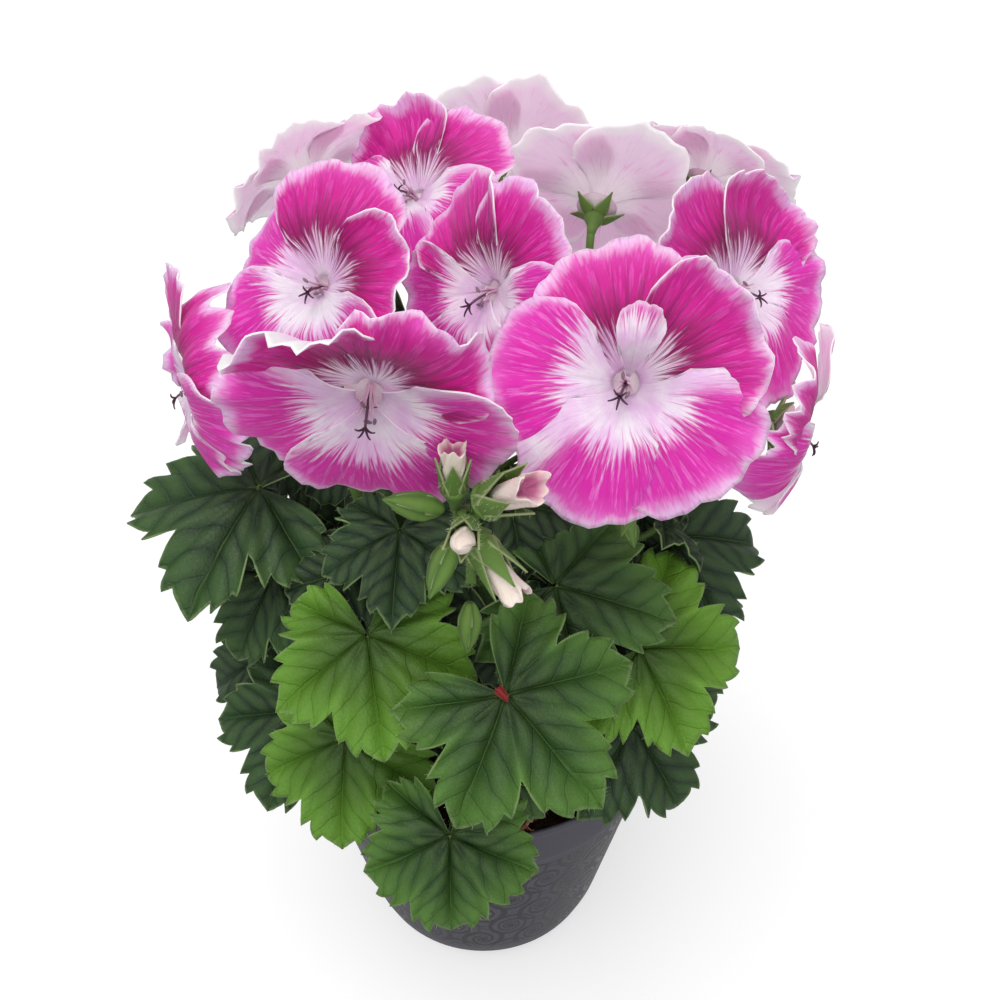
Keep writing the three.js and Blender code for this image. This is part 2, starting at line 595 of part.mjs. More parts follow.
const STEMS = [
  {
    name: "leafy_stem_left",
    root: [-21, -20],
    path: [[-27, -24, 110], [-31, -27, 140], [-30, -28, 170]],
    umbel: [-38, -30, 200],
    blooms: [
      { name: "bloom_left_front", at: [-19.6, -70, 231.4], face: [-4, -22], spin: -5, lean: 11, seed: 2 },
      { name: "bloom_left_top", at: [-34, -30, 238], face: [-26, 27], spin: 30, size: 0.95, seed: 3 },
      { name: "bloom_left_side", at: [-66, -26, 214], face: [-66, -4], size: 0.95, seed: 11 },
    ],
    buds: [],
    closedBuds: [],
    leaves: [
      { at: [-26.5, -62, 166], face: [-5, 52], spin: 12, length: 28, from: 0.85 },
      { at: [-35.5, -56, 127.5], face: [-12, 44], spin: 2, length: 27.5, from: 0.55 },
      { at: [-50, -43, 120], face: [-12, 46], spin: -15, length: 28, from: 0.4 },
      { at: [-64, -26, 125], face: [-35, 40], spin: -50, length: 25, from: 0.45 },
      { at: [-56, -30, 158], face: [-20, 38], spin: -22, length: 27, from: 0.7 },
      { at: [-61, -22, 178], face: [-8, 62], spin: -74, length: 37, from: 0.9 },
      { at: [-19, -46, 182], face: [-4, 62], spin: 0, length: 22, from: 0.95 },
    ],
  },
  {
    name: "leafy_stem_front",
    root: [0, -24],
    path: [[2, -32, 112], [3, -36, 140], [1, -42, 165]],
    umbel: [-1.4, -73, 202],
    blooms: [],
    buds: [
      { name: "bud_pink", at: [4, -80.5, 210.5], face: [40, 35], size: 1.05 },
      { name: "bud_upright", at: [-3.5, -76.5, 211.5], face: [2, 74], size: 0.75 },
      { name: "bud_facing", at: [-1, -82, 204.5], face: [-5, 12], size: 0.75 },
      { name: "bud_right", at: [1.5, -79, 199], face: [58, -46], size: 0.95 },
    ],
    closedBuds: [
      { at: [-6, -79, 207.5], face: [-60, 25], size: 0.9 },
      { at: [-4, -79, 200], face: [-40, -55], size: 0.85 },
      { at: [-1, -72, 179], face: [-10, -75], size: 0.8 },
    ],
    leaves: [
      { at: [7, -78, 157], face: [3, 44], spin: 40, length: 32, lobing: 0.36, from: 0.75 },
      { at: [-6, -79, 108.5], face: [0, 34], spin: 0, length: 28, lobing: 0.18, pleat: 0.09, from: 0.3 },
      { at: [5, -62, 116], face: [24, 40], spin: 46, length: 20, from: 0.35 },
    ],
  },
  {
    name: "leafy_stem_right",
    root: [22, -18],
    path: [[28, -21, 110], [33, -22, 140], [34, -22, 170]],
    umbel: [44, -28, 202],
    blooms: [
      { name: "bloom_right_front", at: [32, -62, 228], face: [-8, 22], spin: -22, seed: 1 },
      { name: "bloom_right_top", at: [61, -20, 234], face: [35, 26], size: 0.95, seed: 8 },
      { name: "bloom_right_side", at: [75, -33, 205], face: [72, -12], size: 0.85, seed: 10 },
    ],
    buds: [],
    closedBuds: [
      { at: [38, -50, 196], face: [-25, -40], size: 0.8 },
      { at: [34, -48, 192], face: [30, -50], size: 0.8 },
    ],
    leaves: [
      { at: [42, -50, 148], face: [12, 44], spin: 84, length: 31, from: 0.7 },
      { at: [19.5, -50, 168], face: [5, 46], spin: 74, length: 31, from: 0.95 },
      { at: [44, -40, 112], face: [22, 36], spin: 24, length: 31, from: 0.4 },
      { at: [55, -14, 160], face: [25, 52], spin: 78, length: 33, from: 0.9 },
      { at: [60, -12, 116], face: [50, 42], spin: 20, length: 28, from: 0.5 },
    ],
  },
  {
    name: "leafy_stem_middle",
    root: [0, 4],
    path: [[1, 0, 110], [2, -2, 145], [0, -4, 178]],
    umbel: [0, -4, 212],
    blooms: [
      { name: "bloom_middle_front", at: [6, -34, 239], face: [-44, 10], size: 0.85, seed: 4 },
      { name: "bloom_middle_left", at: [-15, 4, 250], face: [-30, 46], size: 0.9, seed: 5 },
      { name: "bloom_middle_back", at: [7, 31, 253], face: [175, 35], size: 0.95, seed: 6 },
    ],
    buds: [],
    closedBuds: [],
    leaves: [
      { at: [-27, -3, 188], face: [-60, 70], spin: 0, length: 23, from: 0.97 },
      { at: [21, -2, 190], face: [70, 70], spin: 0, length: 23, from: 0.94 },
      { at: [2, 28, 188], face: [170, 64], spin: 0, length: 25, from: 0.9 },
    ],
  },
  {
    name: "leafy_stem_back_left",
    root: [-19, 22],
    path: [[-25, 27, 110], [-30, 31, 140], [-30, 32, 170]],
    umbel: [-32, 26, 206],
    blooms: [
      { name: "bloom_back_left_top", at: [-45, 15, 251], face: [-120, 45], size: 0.9, seed: 12 },
      { name: "bloom_back_left", at: [-32, 54, 232], face: [-155, 20], seed: 13 },
    ],
    buds: [],
    closedBuds: [],
    leaves: tierLeaves(-1, 2),
  },
  {
    name: "leafy_stem_back_right",
    root: [20, 21],
    path: [[26, 26, 110], [31, 30, 140], [31, 31, 170]],
    umbel: [34, 24, 204],
    blooms: [
      { name: "bloom_back_right_near", at: [31, 8, 247], face: [165, 35], size: 0.9, seed: 7 },
      { name: "bloom_back_right_top", at: [61, 22, 251], face: [140, 48], size: 0.9, seed: 9 },
      { name: "bloom_back_right", at: [34, 56, 230], face: [158, 16], seed: 14 },
    ],
    buds: [],
    closedBuds: [],
    leaves: tierLeaves(1, 12),
  },
];

// The object

const STEM_SIDES = 6;
const STEM_STEPS = 6;
const PEDUNCLE_SIDES = 5;
const PEDUNCLE_STEPS = 3;
const PEDUNCLE_FROM = 0.97; // where on the stem it grows

function stemCurve({ root: [x, y], path }) {
  const bottom = SOIL_TOP - STEM_HOLE_DEPTH + 2;
  const points = [[x, y, bottom], [x, y, SOIL_TOP], ...path];
  return new THREE.CatmullRomCurve3(points.map((p) => vec(...p)));
}

function makeHeadStalk(stem, umbel) {
  const start = stem.curve.getPointAt(PEDUNCLE_FROM);
  const above = stem.curve.getPointAt(1).add(vec(0, 0, 4 * UMBEL_RADIUS));
  const curve = new THREE.QuadraticBezierCurve3(start, above, umbel);
  return ringed(tubeRings(curve, PEDUNCLE_RADIUS, PEDUNCLE_RADIUS, PEDUNCLE_SIDES, PEDUNCLE_STEPS));
}

const root = new THREE.Group();
root.add(meshOf(makePot(), "pot", COLOURS.pot));
root.add(meshOf(makeSoil(STEMS), "soil", COLOURS.soil));
root.add(meshOf(makeDryRoots(), "dry_roots", COLOURS.roots));
for (const stem of STEMS) {
  stem.curve = stemCurve(stem);
  const umbel = vec(...stem.umbel);
  const knob = new THREE.IcosahedronGeometry(UMBEL_RADIUS).translate(umbel.x, umbel.y, umbel.z);
  const parts = [
    ringed(tubeRings(stem.curve, STEM_RADIUS, STEM_TOP_RADIUS, STEM_SIDES, STEM_STEPS)),
    makeHeadStalk(stem, umbel),
    solidOf(knob),
  ];
  for (const leaf of stem.leaves) parts.push(makeLeafOnStem(stem, leaf));
  for (const bloom of stem.blooms) {
    parts.push(makeCalyx(umbel, bloom, OPEN_CALYX, 1));
    root.add(meshOf(makeBloom(bloom), bloom.name, COLOURS.bloom));
  }
  for (const bud of stem.buds) {
    parts.push(makeCalyx(umbel, bud, BUD_CALYX, bud.size));
    root.add(meshOf(makeBudPetals(bud, bud.size), bud.name, COLOURS.bud));
  }
  for (const bud of stem.closedBuds) {
    parts.push(makeCalyx(umbel, bud, CLOSED_CALYX, bud.size));
    parts.push(makeBudPetals(bud, CLOSED_BUD_SCALE * bud.size));
  }
  root.add(meshOf(fuse(parts), stem.name, COLOURS.leafy));
}

export default root;
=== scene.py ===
"""Potted regal pelargonium in bloom: plastic pot, soil, dry roots, six leafy stems, flowers and buds.

Lengths are in millimetres until a mesh is built, +Z up, the front of the plant towards -Y.
"""

import math

import bpy
import numpy as np
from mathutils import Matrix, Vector


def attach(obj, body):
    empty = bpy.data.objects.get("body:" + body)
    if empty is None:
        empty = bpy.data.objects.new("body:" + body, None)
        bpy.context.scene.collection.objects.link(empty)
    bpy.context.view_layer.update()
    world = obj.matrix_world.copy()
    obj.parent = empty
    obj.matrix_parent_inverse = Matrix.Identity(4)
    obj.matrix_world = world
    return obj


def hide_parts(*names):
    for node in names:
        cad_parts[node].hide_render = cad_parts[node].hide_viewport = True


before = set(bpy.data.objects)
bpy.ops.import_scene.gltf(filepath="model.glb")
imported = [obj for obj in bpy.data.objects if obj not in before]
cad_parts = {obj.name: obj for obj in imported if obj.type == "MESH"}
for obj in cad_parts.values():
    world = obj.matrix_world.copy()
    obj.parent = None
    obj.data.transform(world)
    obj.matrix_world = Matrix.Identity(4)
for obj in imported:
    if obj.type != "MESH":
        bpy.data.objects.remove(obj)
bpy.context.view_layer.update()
MM = 0.001


# Pot
# A round nursery pot, injection moulded in one piece of dark plastic: a plain flared band under the
# rim, a tapered side with a scroll ornament in its mould, a rounded corner and a flat foot with holes.

RIM_RADIUS = 60
POT_HEIGHT = 86
LIP_HEIGHT = 2
LIP_STEP = 0.6
BAND_BOTTOM = 69
BAND_RADIUS = 57.7
SIDE_TOP_RADIUS = 56.6
LOW_SIDE_RADIUS = 43.5
LOW_SIDE_HEIGHT = 13
FOOT_RADIUS = 35
FOOT_FLARE = 5.5
WALL = 1.5
FLOOR = 3
POT_ROUNDING = 1.6
POT_SIDES = 96
DRAIN_HOLES = 6
DRAIN_RADIUS = 3.5
DRAIN_CIRCLE = 24
DRAIN_SIDES = 24
SCROLLS_ROUND = 16
SCROLLS_UP = 4.65
FULL_TURN = 2 * math.pi


class Skin:
    """The patches of one piece: points, faces, material numbers, and what its finish reads at a point."""

    def __init__(self):
        self.points, self.faces, self.slots, self.uv = [], [], [], []
        self.looks = {"rim": [], "tone": [], "tint": []}
        self.count = 0

    def add(self, points, faces, slot=0, uv=None, rim=0.0, tone=0.5, tint=0.5):
        points = np.asarray(points, float).reshape(-1, 3)
        number = len(points)
        self.points.append(points)
        self.faces += [[i + self.count for i in face] for face in faces]
        self.slots += [slot] * len(faces)
        self.uv.append(np.zeros((number, 2)) if uv is None else np.asarray(uv, float).reshape(-1, 2))
        for label, value in (("rim", rim), ("tone", tone), ("tint", tint)):
            self.looks[label].append(np.broadcast_to(np.asarray(value, float).ravel(), number))
        self.count += number

    def build(self, name, materials):
        mesh = bpy.data.meshes.new(name)
        mesh.from_pydata((np.concatenate(self.points) * MM).tolist(), [], self.faces)
        mesh.polygons.foreach_set("material_index", self.slots)
        mesh.polygons.foreach_set("use_smooth", [True] * len(self.faces))
        corners = np.empty(len(mesh.loops), np.int32)
        mesh.loops.foreach_get("vertex_index", corners)
        uv = np.concatenate(self.uv)
        mesh.uv_layers.new(name="UVMap").data.foreach_set("uv", uv[corners].ravel())
        for label, values in self.looks.items():
            layer = mesh.attributes.new(label, "FLOAT", "POINT")
            layer.data.foreach_set("value", np.concatenate(values).astype(np.float32))
        for material in materials:
            mesh.materials.append(material)
        mesh.update()
        piece = bpy.data.objects.new(name, mesh)
        bpy.context.scene.collection.objects.link(piece)
        return piece


def round_faces(rings, sides):
    """Quads between rings of points, anticlockwise seen from outside, and the faces that close both ends."""
    faces = []
    for low in range(0, (rings - 1) * sides, sides):
        for k in range(sides):
            beside = (k + 1) % sides
            faces.append([low + k, low + beside, low + sides + beside, low + sides + k])
    return faces + [list(range(sides))[::-1], list(range((rings - 1) * sides, rings * sides))]


def turns_of(sides):
    return np.arange(sides) * FULL_TURN / sides


def lathed(profile, sides):
    """Points, faces and UV of a profile of (radius, height) turned round Z; its ends are closed."""
    turns = turns_of(sides)
    profile = np.asarray(profile, float)
    radius, height = profile[:, :1], profile[:, 1:]
    points = np.stack([radius * np.cos(turns), radius * np.sin(turns), height + 0 * turns], -1)
    uv = np.stack([turns / FULL_TURN + 0 * radius, height / POT_HEIGHT + 0 * turns], -1)
    return points, round_faces(len(profile), sides), uv


def rounded(profile, radius, steps=4):
    """The profile with each inner corner cut by an arc-like curve that starts this far from it."""
    profile = np.asarray(profile, float)
    out = [profile[0]]
    for before, corner, after in zip(profile, profile[1:], profile[2:]):
        ends = []
        for end in (before, after):
            length = np.linalg.norm(end - corner)
            ends.append(corner + (end - corner) * min(radius, 0.45 * length) / length)
        for t in np.linspace(0, 1, steps):
            out.append((1 - t) ** 2 * ends[0] + 2 * t * (1 - t) * corner + t**2 * ends[1])
    return np.array(out + [profile[-1]])


class Term:
    """A node's output; each sum, product or step made from it adds one node to the same tree."""

    def __init__(self, recipe, socket):
        self.recipe, self.socket = recipe, socket

    def __add__(self, other):
        return self.recipe.math("ADD", self, other)

    def __sub__(self, other):
        return self.recipe.math("SUBTRACT", self, other)

    def __mul__(self, other):
        return self.recipe.math("MULTIPLY", self, other)

    def __truediv__(self, other):
        return self.recipe.math("DIVIDE", self, other)

    def __abs__(self):
        return self.recipe.math("ABSOLUTE", self)

    def rise(self, low, high):
        """A soft step from 0 at low to 1 at high; it falls where low is the larger."""
        inputs = {"Value": self, "From Min": low, "From Max": high}
        return self.recipe.node("ShaderNodeMapRange", 0, inputs, interpolation_type="SMOOTHSTEP")

    def span(self, to_low, to_high):
        """The values 0 to 1 spread over another range."""
        return self.recipe.node("ShaderNodeMapRange", 0, {"Value": self, "To Min": to_low, "To Max": to_high})


class Recipe:
    """Writes a node tree: each method adds one node and gives its output."""

    def __init__(self, tree):
        self.tree = tree

    def feed(self, socket, value):
        if isinstance(value, Term):
            self.tree.links.new(value.socket, socket)
        else:
            socket.default_value = value

    def node(self, kind, output=0, inputs=(), **settings):
        node = self.tree.nodes.new(kind)
        for key, value in settings.items():
            setattr(node, key, value)
        for key, value in dict(inputs).items():
            self.feed(node.inputs[key], value)
        return Term(self, node.outputs[output])

    def shade(self, **values):
        """Gives the material's own shader these values, each named after its socket."""
        for key, value in values.items():
            self.feed(self.tree.nodes["Principled BSDF"].inputs[key.replace("_", " ")], value)

    def inputs(self):
        """The tree's own named inputs."""
        return {socket.name: Term(self, socket) for socket in self.tree.nodes.new("NodeGroupInput").outputs}

    def output(self, value):
        self.feed(self.tree.nodes.new("NodeGroupOutput").inputs[0], value)

    def math(self, operation, a, b=0.0):
        return self.node("ShaderNodeMath", 0, {0: a, 1: b}, operation=operation)

    def mix(self, share, a, b, blend="MIX"):
        return self.node("ShaderNodeMix", 2, {0: share, 6: a, 7: b}, data_type="RGBA", blend_type=blend)

    def place(self, kind="Object"):
        return self.node("ShaderNodeTexCoord", kind)

    def noise(self, scale, detail=3.0, roughness=0.55, distortion=0.0, where=None):
        inputs = {"Scale": scale, "Detail": detail, "Roughness": roughness, "Distortion": distortion}
        return self.node("ShaderNodeTexNoise", 0, {"Vector": where or self.place(), **inputs})

    def attribute(self, name):
        return self.node("ShaderNodeAttribute", 2, attribute_name=name)

    def split(self, vector):
        node = self.tree.nodes.new("ShaderNodeSeparateXYZ")
        self.feed(node.inputs[0], vector)
        return [Term(self, socket) for socket in node.outputs]

    def bump(self, height, strength, distance):
        inputs = {"Height": height, "Strength": strength, "Distance": distance * MM}
        return self.node("ShaderNodeBump", 0, inputs)


def colour(red, green, blue):
    """A colour given as it is seen on a screen, 0 to 255, in the linear values a shader wants."""
    share = np.array([red, green, blue]) / 255
    return (*np.where(share <= 0.04045, share / 12.92, ((share + 0.055) / 1.055) ** 2.4).tolist(), 1.0)


def new_material(name, **constants):
    """A material and its recipe, with the constant values set on its shader's own sockets."""
    material = bpy.data.materials.new(name)
    material.use_nodes = True
    recipe = Recipe(material.node_tree)
    recipe.shade(**constants)
    return material, recipe


def scroll_mask(recipe):
    """Rows of paired spirals with comma leaves between them, 1 on the ornament."""
    u, v, _ = recipe.split(recipe.place("UV"))
    rows = []
    for shift, winds, arms in ((0.0, 1.35, 1), (0.5, -1.0, 2)):
        x = recipe.math("FRACT", u * SCROLLS_ROUND + shift) - 0.5
        y = recipe.math("FRACT", v * SCROLLS_UP + shift) - 0.5
        radius = recipe.math("SQRT", x * x + y * y)
        angle = recipe.math("ARCTAN2", y, x) / FULL_TURN
        winding = recipe.math("LOGARITHM", recipe.math("MAXIMUM", radius, 0.02), 2.0) * winds
        wave = recipe.math("FRACT", angle * arms + winding)
        line = abs(wave - 0.5).rise(0.24, 0.16) * radius.rise(0.5, 0.42)
        rows.append(recipe.math("MAXIMUM", line, radius.rise(0.07, 0.05)))
    return recipe.math("MAXIMUM", *rows)


plastic, recipe = new_material("anthracite_plastic", Specular_IOR_Level=0.3)
height_share = recipe.split(recipe.place("UV"))[1]
above_foot = height_share.rise(10 / POT_HEIGHT, 13 / POT_HEIGHT)
under_band = height_share.rise((BAND_BOTTOM - 1) / POT_HEIGHT, (BAND_BOTTOM - 3) / POT_HEIGHT)
ornament = scroll_mask(recipe) * (above_foot * under_band)
dust = recipe.noise(60, 6, 0.7).rise(0.52, 0.75)
ground = recipe.mix(dust * 0.25, colour(80, 78, 88), colour(112, 109, 117))
grain = recipe.noise(1400, 2) * 0.12
recipe.shade(
    Base_Color=recipe.mix(ornament, ground, colour(24, 23, 32)),
    Roughness=ornament.span(0.5, 0.25),
    Normal=recipe.bump(grain - ornament, 0.5, 0.35),
)

pot_profile = [
    (0, 0),
    (FOOT_RADIUS, 0),
    (FOOT_RADIUS + FOOT_FLARE, LOW_SIDE_HEIGHT * 0.4),
    (LOW_SIDE_RADIUS, LOW_SIDE_HEIGHT),
    (SIDE_TOP_RADIUS, BAND_BOTTOM),
    (BAND_RADIUS, BAND_BOTTOM + 1.1),
    (RIM_RADIUS - LIP_STEP, POT_HEIGHT - LIP_HEIGHT - LIP_STEP),
    (RIM_RADIUS, POT_HEIGHT - LIP_HEIGHT),
    (RIM_RADIUS, POT_HEIGHT),
    (RIM_RADIUS - WALL, POT_HEIGHT),
    (SIDE_TOP_RADIUS - WALL, BAND_BOTTOM),
    (LOW_SIDE_RADIUS - WALL, LOW_SIDE_HEIGHT),
    (FOOT_RADIUS - 1, FLOOR),
    (0, FLOOR),
]
outer = rounded(pot_profile, POT_ROUNDING)
outer[0, 0] = outer[-1, 0] = 1.0
points, faces, uv = lathed(outer, POT_SIDES)
skin = Skin()
skin.add(points, faces, uv=uv)
pot = skin.build("moulded_pot", [plastic])
drills = Skin()
for turn in turns_of(DRAIN_HOLES):
    points, faces, _ = lathed([(DRAIN_RADIUS, -FLOOR), (DRAIN_RADIUS, 2 * FLOOR)], DRAIN_SIDES)
    drills.add(points + [DRAIN_CIRCLE * math.cos(turn), DRAIN_CIRCLE * math.sin(turn), 0], faces)
drill = drills.build("drill", [])


def baked(piece):
    """The piece with its modifiers worked into its mesh."""
    evaluated = piece.evaluated_get(bpy.context.evaluated_depsgraph_get())
    mesh = bpy.data.meshes.new_from_object(evaluated)
    piece.modifiers.clear()
    piece.data = mesh
    return piece


cut = pot.modifiers.new("drain holes", "BOOLEAN")
cut.object = drill
cut.operation = "DIFFERENCE"
baked(pot)
bpy.data.objects.remove(drill)
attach(pot, "root")
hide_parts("pot")


# Soil
# Damp potting soil of peat and fibre, filled in by hand and pressed down at the wall, with loose crumbs
# on top; the stems stand in it.

SOIL_TOP = 77
SOIL_EDGE_RADIUS = 56.0
SOIL_EDGE_HEIGHT = 75
SOIL_CROWN = 2
SOIL_SIDES = 90


def vector(*values):
    return np.array(values, float)


def rippled(points, size, seed):
    """Smooth irregular values near -1 to 1 for points, with bumps about this far across."""
    rng = np.random.default_rng(seed)
    total = 0
    for octave in range(3):
        for _ in range(5):
            direction = rng.normal(size=3)
            direction *= 2**octave * FULL_TURN / (size * np.linalg.norm(direction))
            total = total + np.sin(points @ direction + rng.uniform(0, FULL_TURN)) * 0.5**octave
    return total / 5


soil_matter, recipe = new_material("damp_soil", Roughness=0.92, Specular_IOR_Level=0.25)
lumps = recipe.noise(260, 6, 0.7)
earth = recipe.mix(lumps.rise(0.35, 0.7), colour(38, 27, 19), colour(86, 62, 44))
fibre = recipe.noise(900, 2, 0.6, 2.0).rise(0.66, 0.74)
recipe.shade(Base_Color=recipe.mix(fibre, earth, colour(128, 98, 70)), Normal=recipe.bump(lumps, 0.9, 1.2))

soil_profile = [(1.0, FLOOR + 0.3), (33, FLOOR + 0.3), (41.4, 13.3), (54.5, BAND_BOTTOM)]
soil_profile += [(SOIL_EDGE_RADIUS, SOIL_EDGE_HEIGHT)]
for r in np.linspace(SOIL_EDGE_RADIUS - 1.2, 1.0, 30):
    soil_profile.append((r, SOIL_EDGE_HEIGHT + 0.6 + SOIL_CROWN * (1 - (r / SOIL_EDGE_RADIUS) ** 4)))
points, faces, uv = lathed(soil_profile, SOIL_SIDES)
lumpy = 0.9 * rippled(points.reshape(-1, 3), 9, 4).reshape(points.shape[:2]) - 0.4
points[..., 2] += np.where(points[..., 2] > SOIL_EDGE_HEIGHT - 0.1, lumpy, 0)
skin = Skin()
skin.add(points, faces, uv=uv)
soil = skin.build("potting_soil", [soil_matter])


class Field(Recipe):
    """Writes a Geometry Nodes tree that scatters a small shape over a mesh, from named inputs."""

    def __init__(self, name, inputs):
        tree = bpy.data.node_groups.new(name, "GeometryNodeTree")
        tree.is_modifier = True
        tree.interface.new_socket("Mesh", in_out="INPUT", socket_type="NodeSocketGeometry")
        for label, value in inputs.items():
            kind = "NodeSocketInt" if isinstance(value, int) else "NodeSocketFloat"
            tree.interface.new_socket(label, in_out="INPUT", socket_type=kind).default_value = value
        tree.interface.new_socket("Mesh", in_out="OUTPUT", socket_type="NodeSocketGeometry")
        super().__init__(tree)
        self.given = self.inputs()
        self.values = inputs

    def scatter(self, chosen):
        """Points over the chosen part of the mesh, as dense as the tree's input says."""
        inputs = {label: self.given[label] for label in ("Mesh", "Density", "Seed")}
        return self.node("GeometryNodeDistributePointsOnFaces", 0, {**inputs, "Selection": chosen})

    def chance(self, low, high, seed):
        return self.node("FunctionNodeRandomValue", 1, {2: low, 3: high, "Seed": seed}, data_type="FLOAT")

    def plant(self, points, shape, rotation, scale, material):
        """The shape at every point, made real, given its material and joined to the mesh."""
        inputs = {"Points": points, "Instance": shape, "Rotation": rotation, "Scale": scale}
        laid = self.node("GeometryNodeInstanceOnPoints", 0, inputs)
        real = self.node("GeometryNodeRealizeInstances", 0, {0: laid})
        done = self.node("GeometryNodeSetMaterial", 0, {"Geometry": real, "Material": material})
        join = self.tree.nodes.new("GeometryNodeJoinGeometry")
        self.feed(join.inputs[0], done)
        self.feed(join.inputs[0], self.given["Mesh"])
        self.output(Term(self, join.outputs[0]))

    def apply(self, piece):
        modifier = piece.modifiers.new(self.tree.name, "NODES")
        modifier.node_group = self.tree
        for item in self.tree.interface.items_tree:
            if item.in_out == "INPUT" and item.name in self.values:
                modifier[item.identifier] = self.values[item.name]
        return baked(piece)


crumbs = Field("crumbs", {"Density": 60000.0, "Smallest": 0.4, "Largest": 1.5, "Seed": 3})
height = crumbs.split(crumbs.node("GeometryNodeInputPosition"))[2]
on_top = crumbs.scatter(crumbs.math("GREATER_THAN", height, (SOIL_EDGE_HEIGHT + 0.2) * MM))
lump = crumbs.node("GeometryNodeMeshIcoSphere", 0, {"Radius": MM, "Subdivisions": 1})
any_way = {0: (0, 0, 0), 1: (6.3, 6.3, 6.3), "Seed": 5}
spin = crumbs.node("FunctionNodeRandomValue", 0, any_way, data_type="FLOAT_VECTOR")
size = crumbs.chance(crumbs.given["Smallest"], crumbs.given["Largest"], 6)
crumbs.plant(on_top, lump, spin, size, soil_matter)
crumbs.apply(soil)
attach(soil, "root")
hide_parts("soil")


# Dry roots
# A wisp of dead brown roots that came up with the soil and lies over the front of the rim, with finer
# side fibres.

ROOT_RADIUS = 0.7
ROOT_TIP_RADIUS = 0.3
DRY_ROOTS = [
    [(6, -44, 78), (10, -50, 80.5), (12.6, -57, 86.9), (13.1, -59.8, 86.7), (13.6, -60, 80)],
    [(16, -46, 78.2), (14.5, -51, 85), (12.6, -56.8, 87.2), (9, -58.3, 87), (3, -59.6, 86.9)],
    [(13, -55.8, 86.6), (15.5, -55, 91), (12.6, -56.3, 93.5), (10, -57, 91), (12.2, -56.8, 87)],
]
FIBRES = 26
FIBRE_RADIUS = 0.25
FIBRE_TIP_RADIUS = 0.12


class Curve:
    """A line of points that can be asked for the point at a share of its length."""

    def __init__(self, points):
        self.points = np.asarray(points, float)
        steps = np.linalg.norm(np.diff(self.points, axis=0), axis=1)
        self.length = steps.sum()
        self.shares = np.concatenate([[0], np.cumsum(steps)]) / self.length

    def at(self, share):
        return np.stack([np.interp(share, self.shares, self.points[:, axis]) for axis in range(3)], -1)


def flowing(points, steps=24):
    """A centripetal Catmull-Rom curve through the points."""
    points = [np.asarray(p, float) for p in points]
    points = [2 * points[0] - points[1], *points, 2 * points[-1] - points[-2]]
    t = np.linspace(0, 1, steps, endpoint=False)[:, None]
    line = []
    for a, b, c, d in zip(points, points[1:], points[2:], points[3:]):
        first, second, third = (np.linalg.norm(q - p) ** 0.5 for p, q in ((a, b), (b, c), (c, d)))
        leave = second * ((b - a) / first - (c - a) / (first + second) + (c - b) / second)
        arrive = second * ((c - b) / second - (d - b) / (second + third) + (d - c) / third)
        squared = 3 * (c - b) - 2 * leave - arrive
        cubed = 2 * (b - c) + leave + arrive
        line.append(b + leave * t + squared * t**2 + cubed * t**3)
    return Curve(np.vstack([*line, points[-2][None]]))


def bezier(*corners, steps=60):
    """A Bezier curve with these control points."""
    t = np.linspace(0, 1, steps)[:, None]
    row = [np.asarray(c, float)[None] for c in corners]
    while len(row) > 1:
        row = [(1 - t) * a + t * b for a, b in zip(row, row[1:])]
    return Curve(row[0])


def tube(skin, curve, radii, sides, steps, **looks):
    """A tube along a curve, its radius following a list of values, with rounded closed ends."""
    shares = np.linspace(0, 1, steps + 1)
    centres = curve.at(shares)
    radius = np.interp(shares, np.linspace(0, 1, len(radii)), radii)
    along = np.gradient(centres, axis=0)
    along /= np.linalg.norm(along, axis=1)[:, None]
    across = np.cross(along[0], [0.3, 0.2, 0.9] if abs(along[0][2]) < 0.8 else [1, 0.1, 0])
    turns = turns_of(sides)[:, None]
    rings = []
    for centre, direction, r in zip(centres, along, radius):
        across = across - direction * (across @ direction)
        across /= np.linalg.norm(across)
        other = np.cross(direction, across)
        rings.append(centre + r * (np.cos(turns) * across + np.sin(turns) * other))
    caps = []
    for end, outwards in ((0, -0.3), (-1, 0.3)):
        caps.append(centres[end] + 0.55 * (rings[end] - centres[end]) + outwards * radius[end] * along[end])
    lengths = np.concatenate([[0], shares, [1]])[:, None] * curve.length
    shape = (len(lengths), sides)
    uv = np.stack([np.broadcast_to(np.arange(sides) / sides, shape), np.broadcast_to(lengths, shape)], -1)
    skin.add(np.array([caps[0], *rings, caps[1]]), round_faces(*shape), uv=uv, **looks)


dry_fibre, recipe = new_material("dry_root_fibre", Roughness=0.85, Specular_IOR_Level=0.25)
stripes = recipe.noise(700, 3, 0.6)
brown = recipe.mix(stripes.rise(0.3, 0.7), colour(96, 62, 44), colour(168, 120, 92))
recipe.shade(Base_Color=brown, Normal=recipe.bump(stripes, 0.5, 0.3))

skin = Skin()
rng = np.random.default_rng(7)
for path in DRY_ROOTS:
    strand = flowing(path)
    wisp = Curve(strand.points + 0.25 * np.stack([rippled(strand.points, 7, k) for k in (1, 2, 3)], -1))
    tube(skin, wisp, [ROOT_RADIUS, 0.5, ROOT_TIP_RADIUS], 7, 44)
for _ in range(FIBRES):
    strand = flowing(DRY_ROOTS[rng.integers(2)])
    start = strand.at(rng.uniform(0.1, 0.6))
    drift = rng.normal(0, 2.2, 3) + [rng.uniform(-3, 3), 0, rng.uniform(1, 4)]
    path = [start, start + drift * 0.5 + rng.normal(0, 0.8, 3), start + drift + rng.normal(0, 1.2, 3)]
    tube(skin, flowing(path), [FIBRE_RADIUS, FIBRE_TIP_RADIUS], 4, 8)
roots = skin.build("dry_root_wisp", [dry_fibre])
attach(roots, "root")
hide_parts("dry_roots")


# Leafy stems
# Six shoots of one grown plant, each in one piece: a woody green stem, leaves on hairy stalks with five
# toothed lobes, pale veins and pale hairy edges, and a head of flower stalks with green cups.

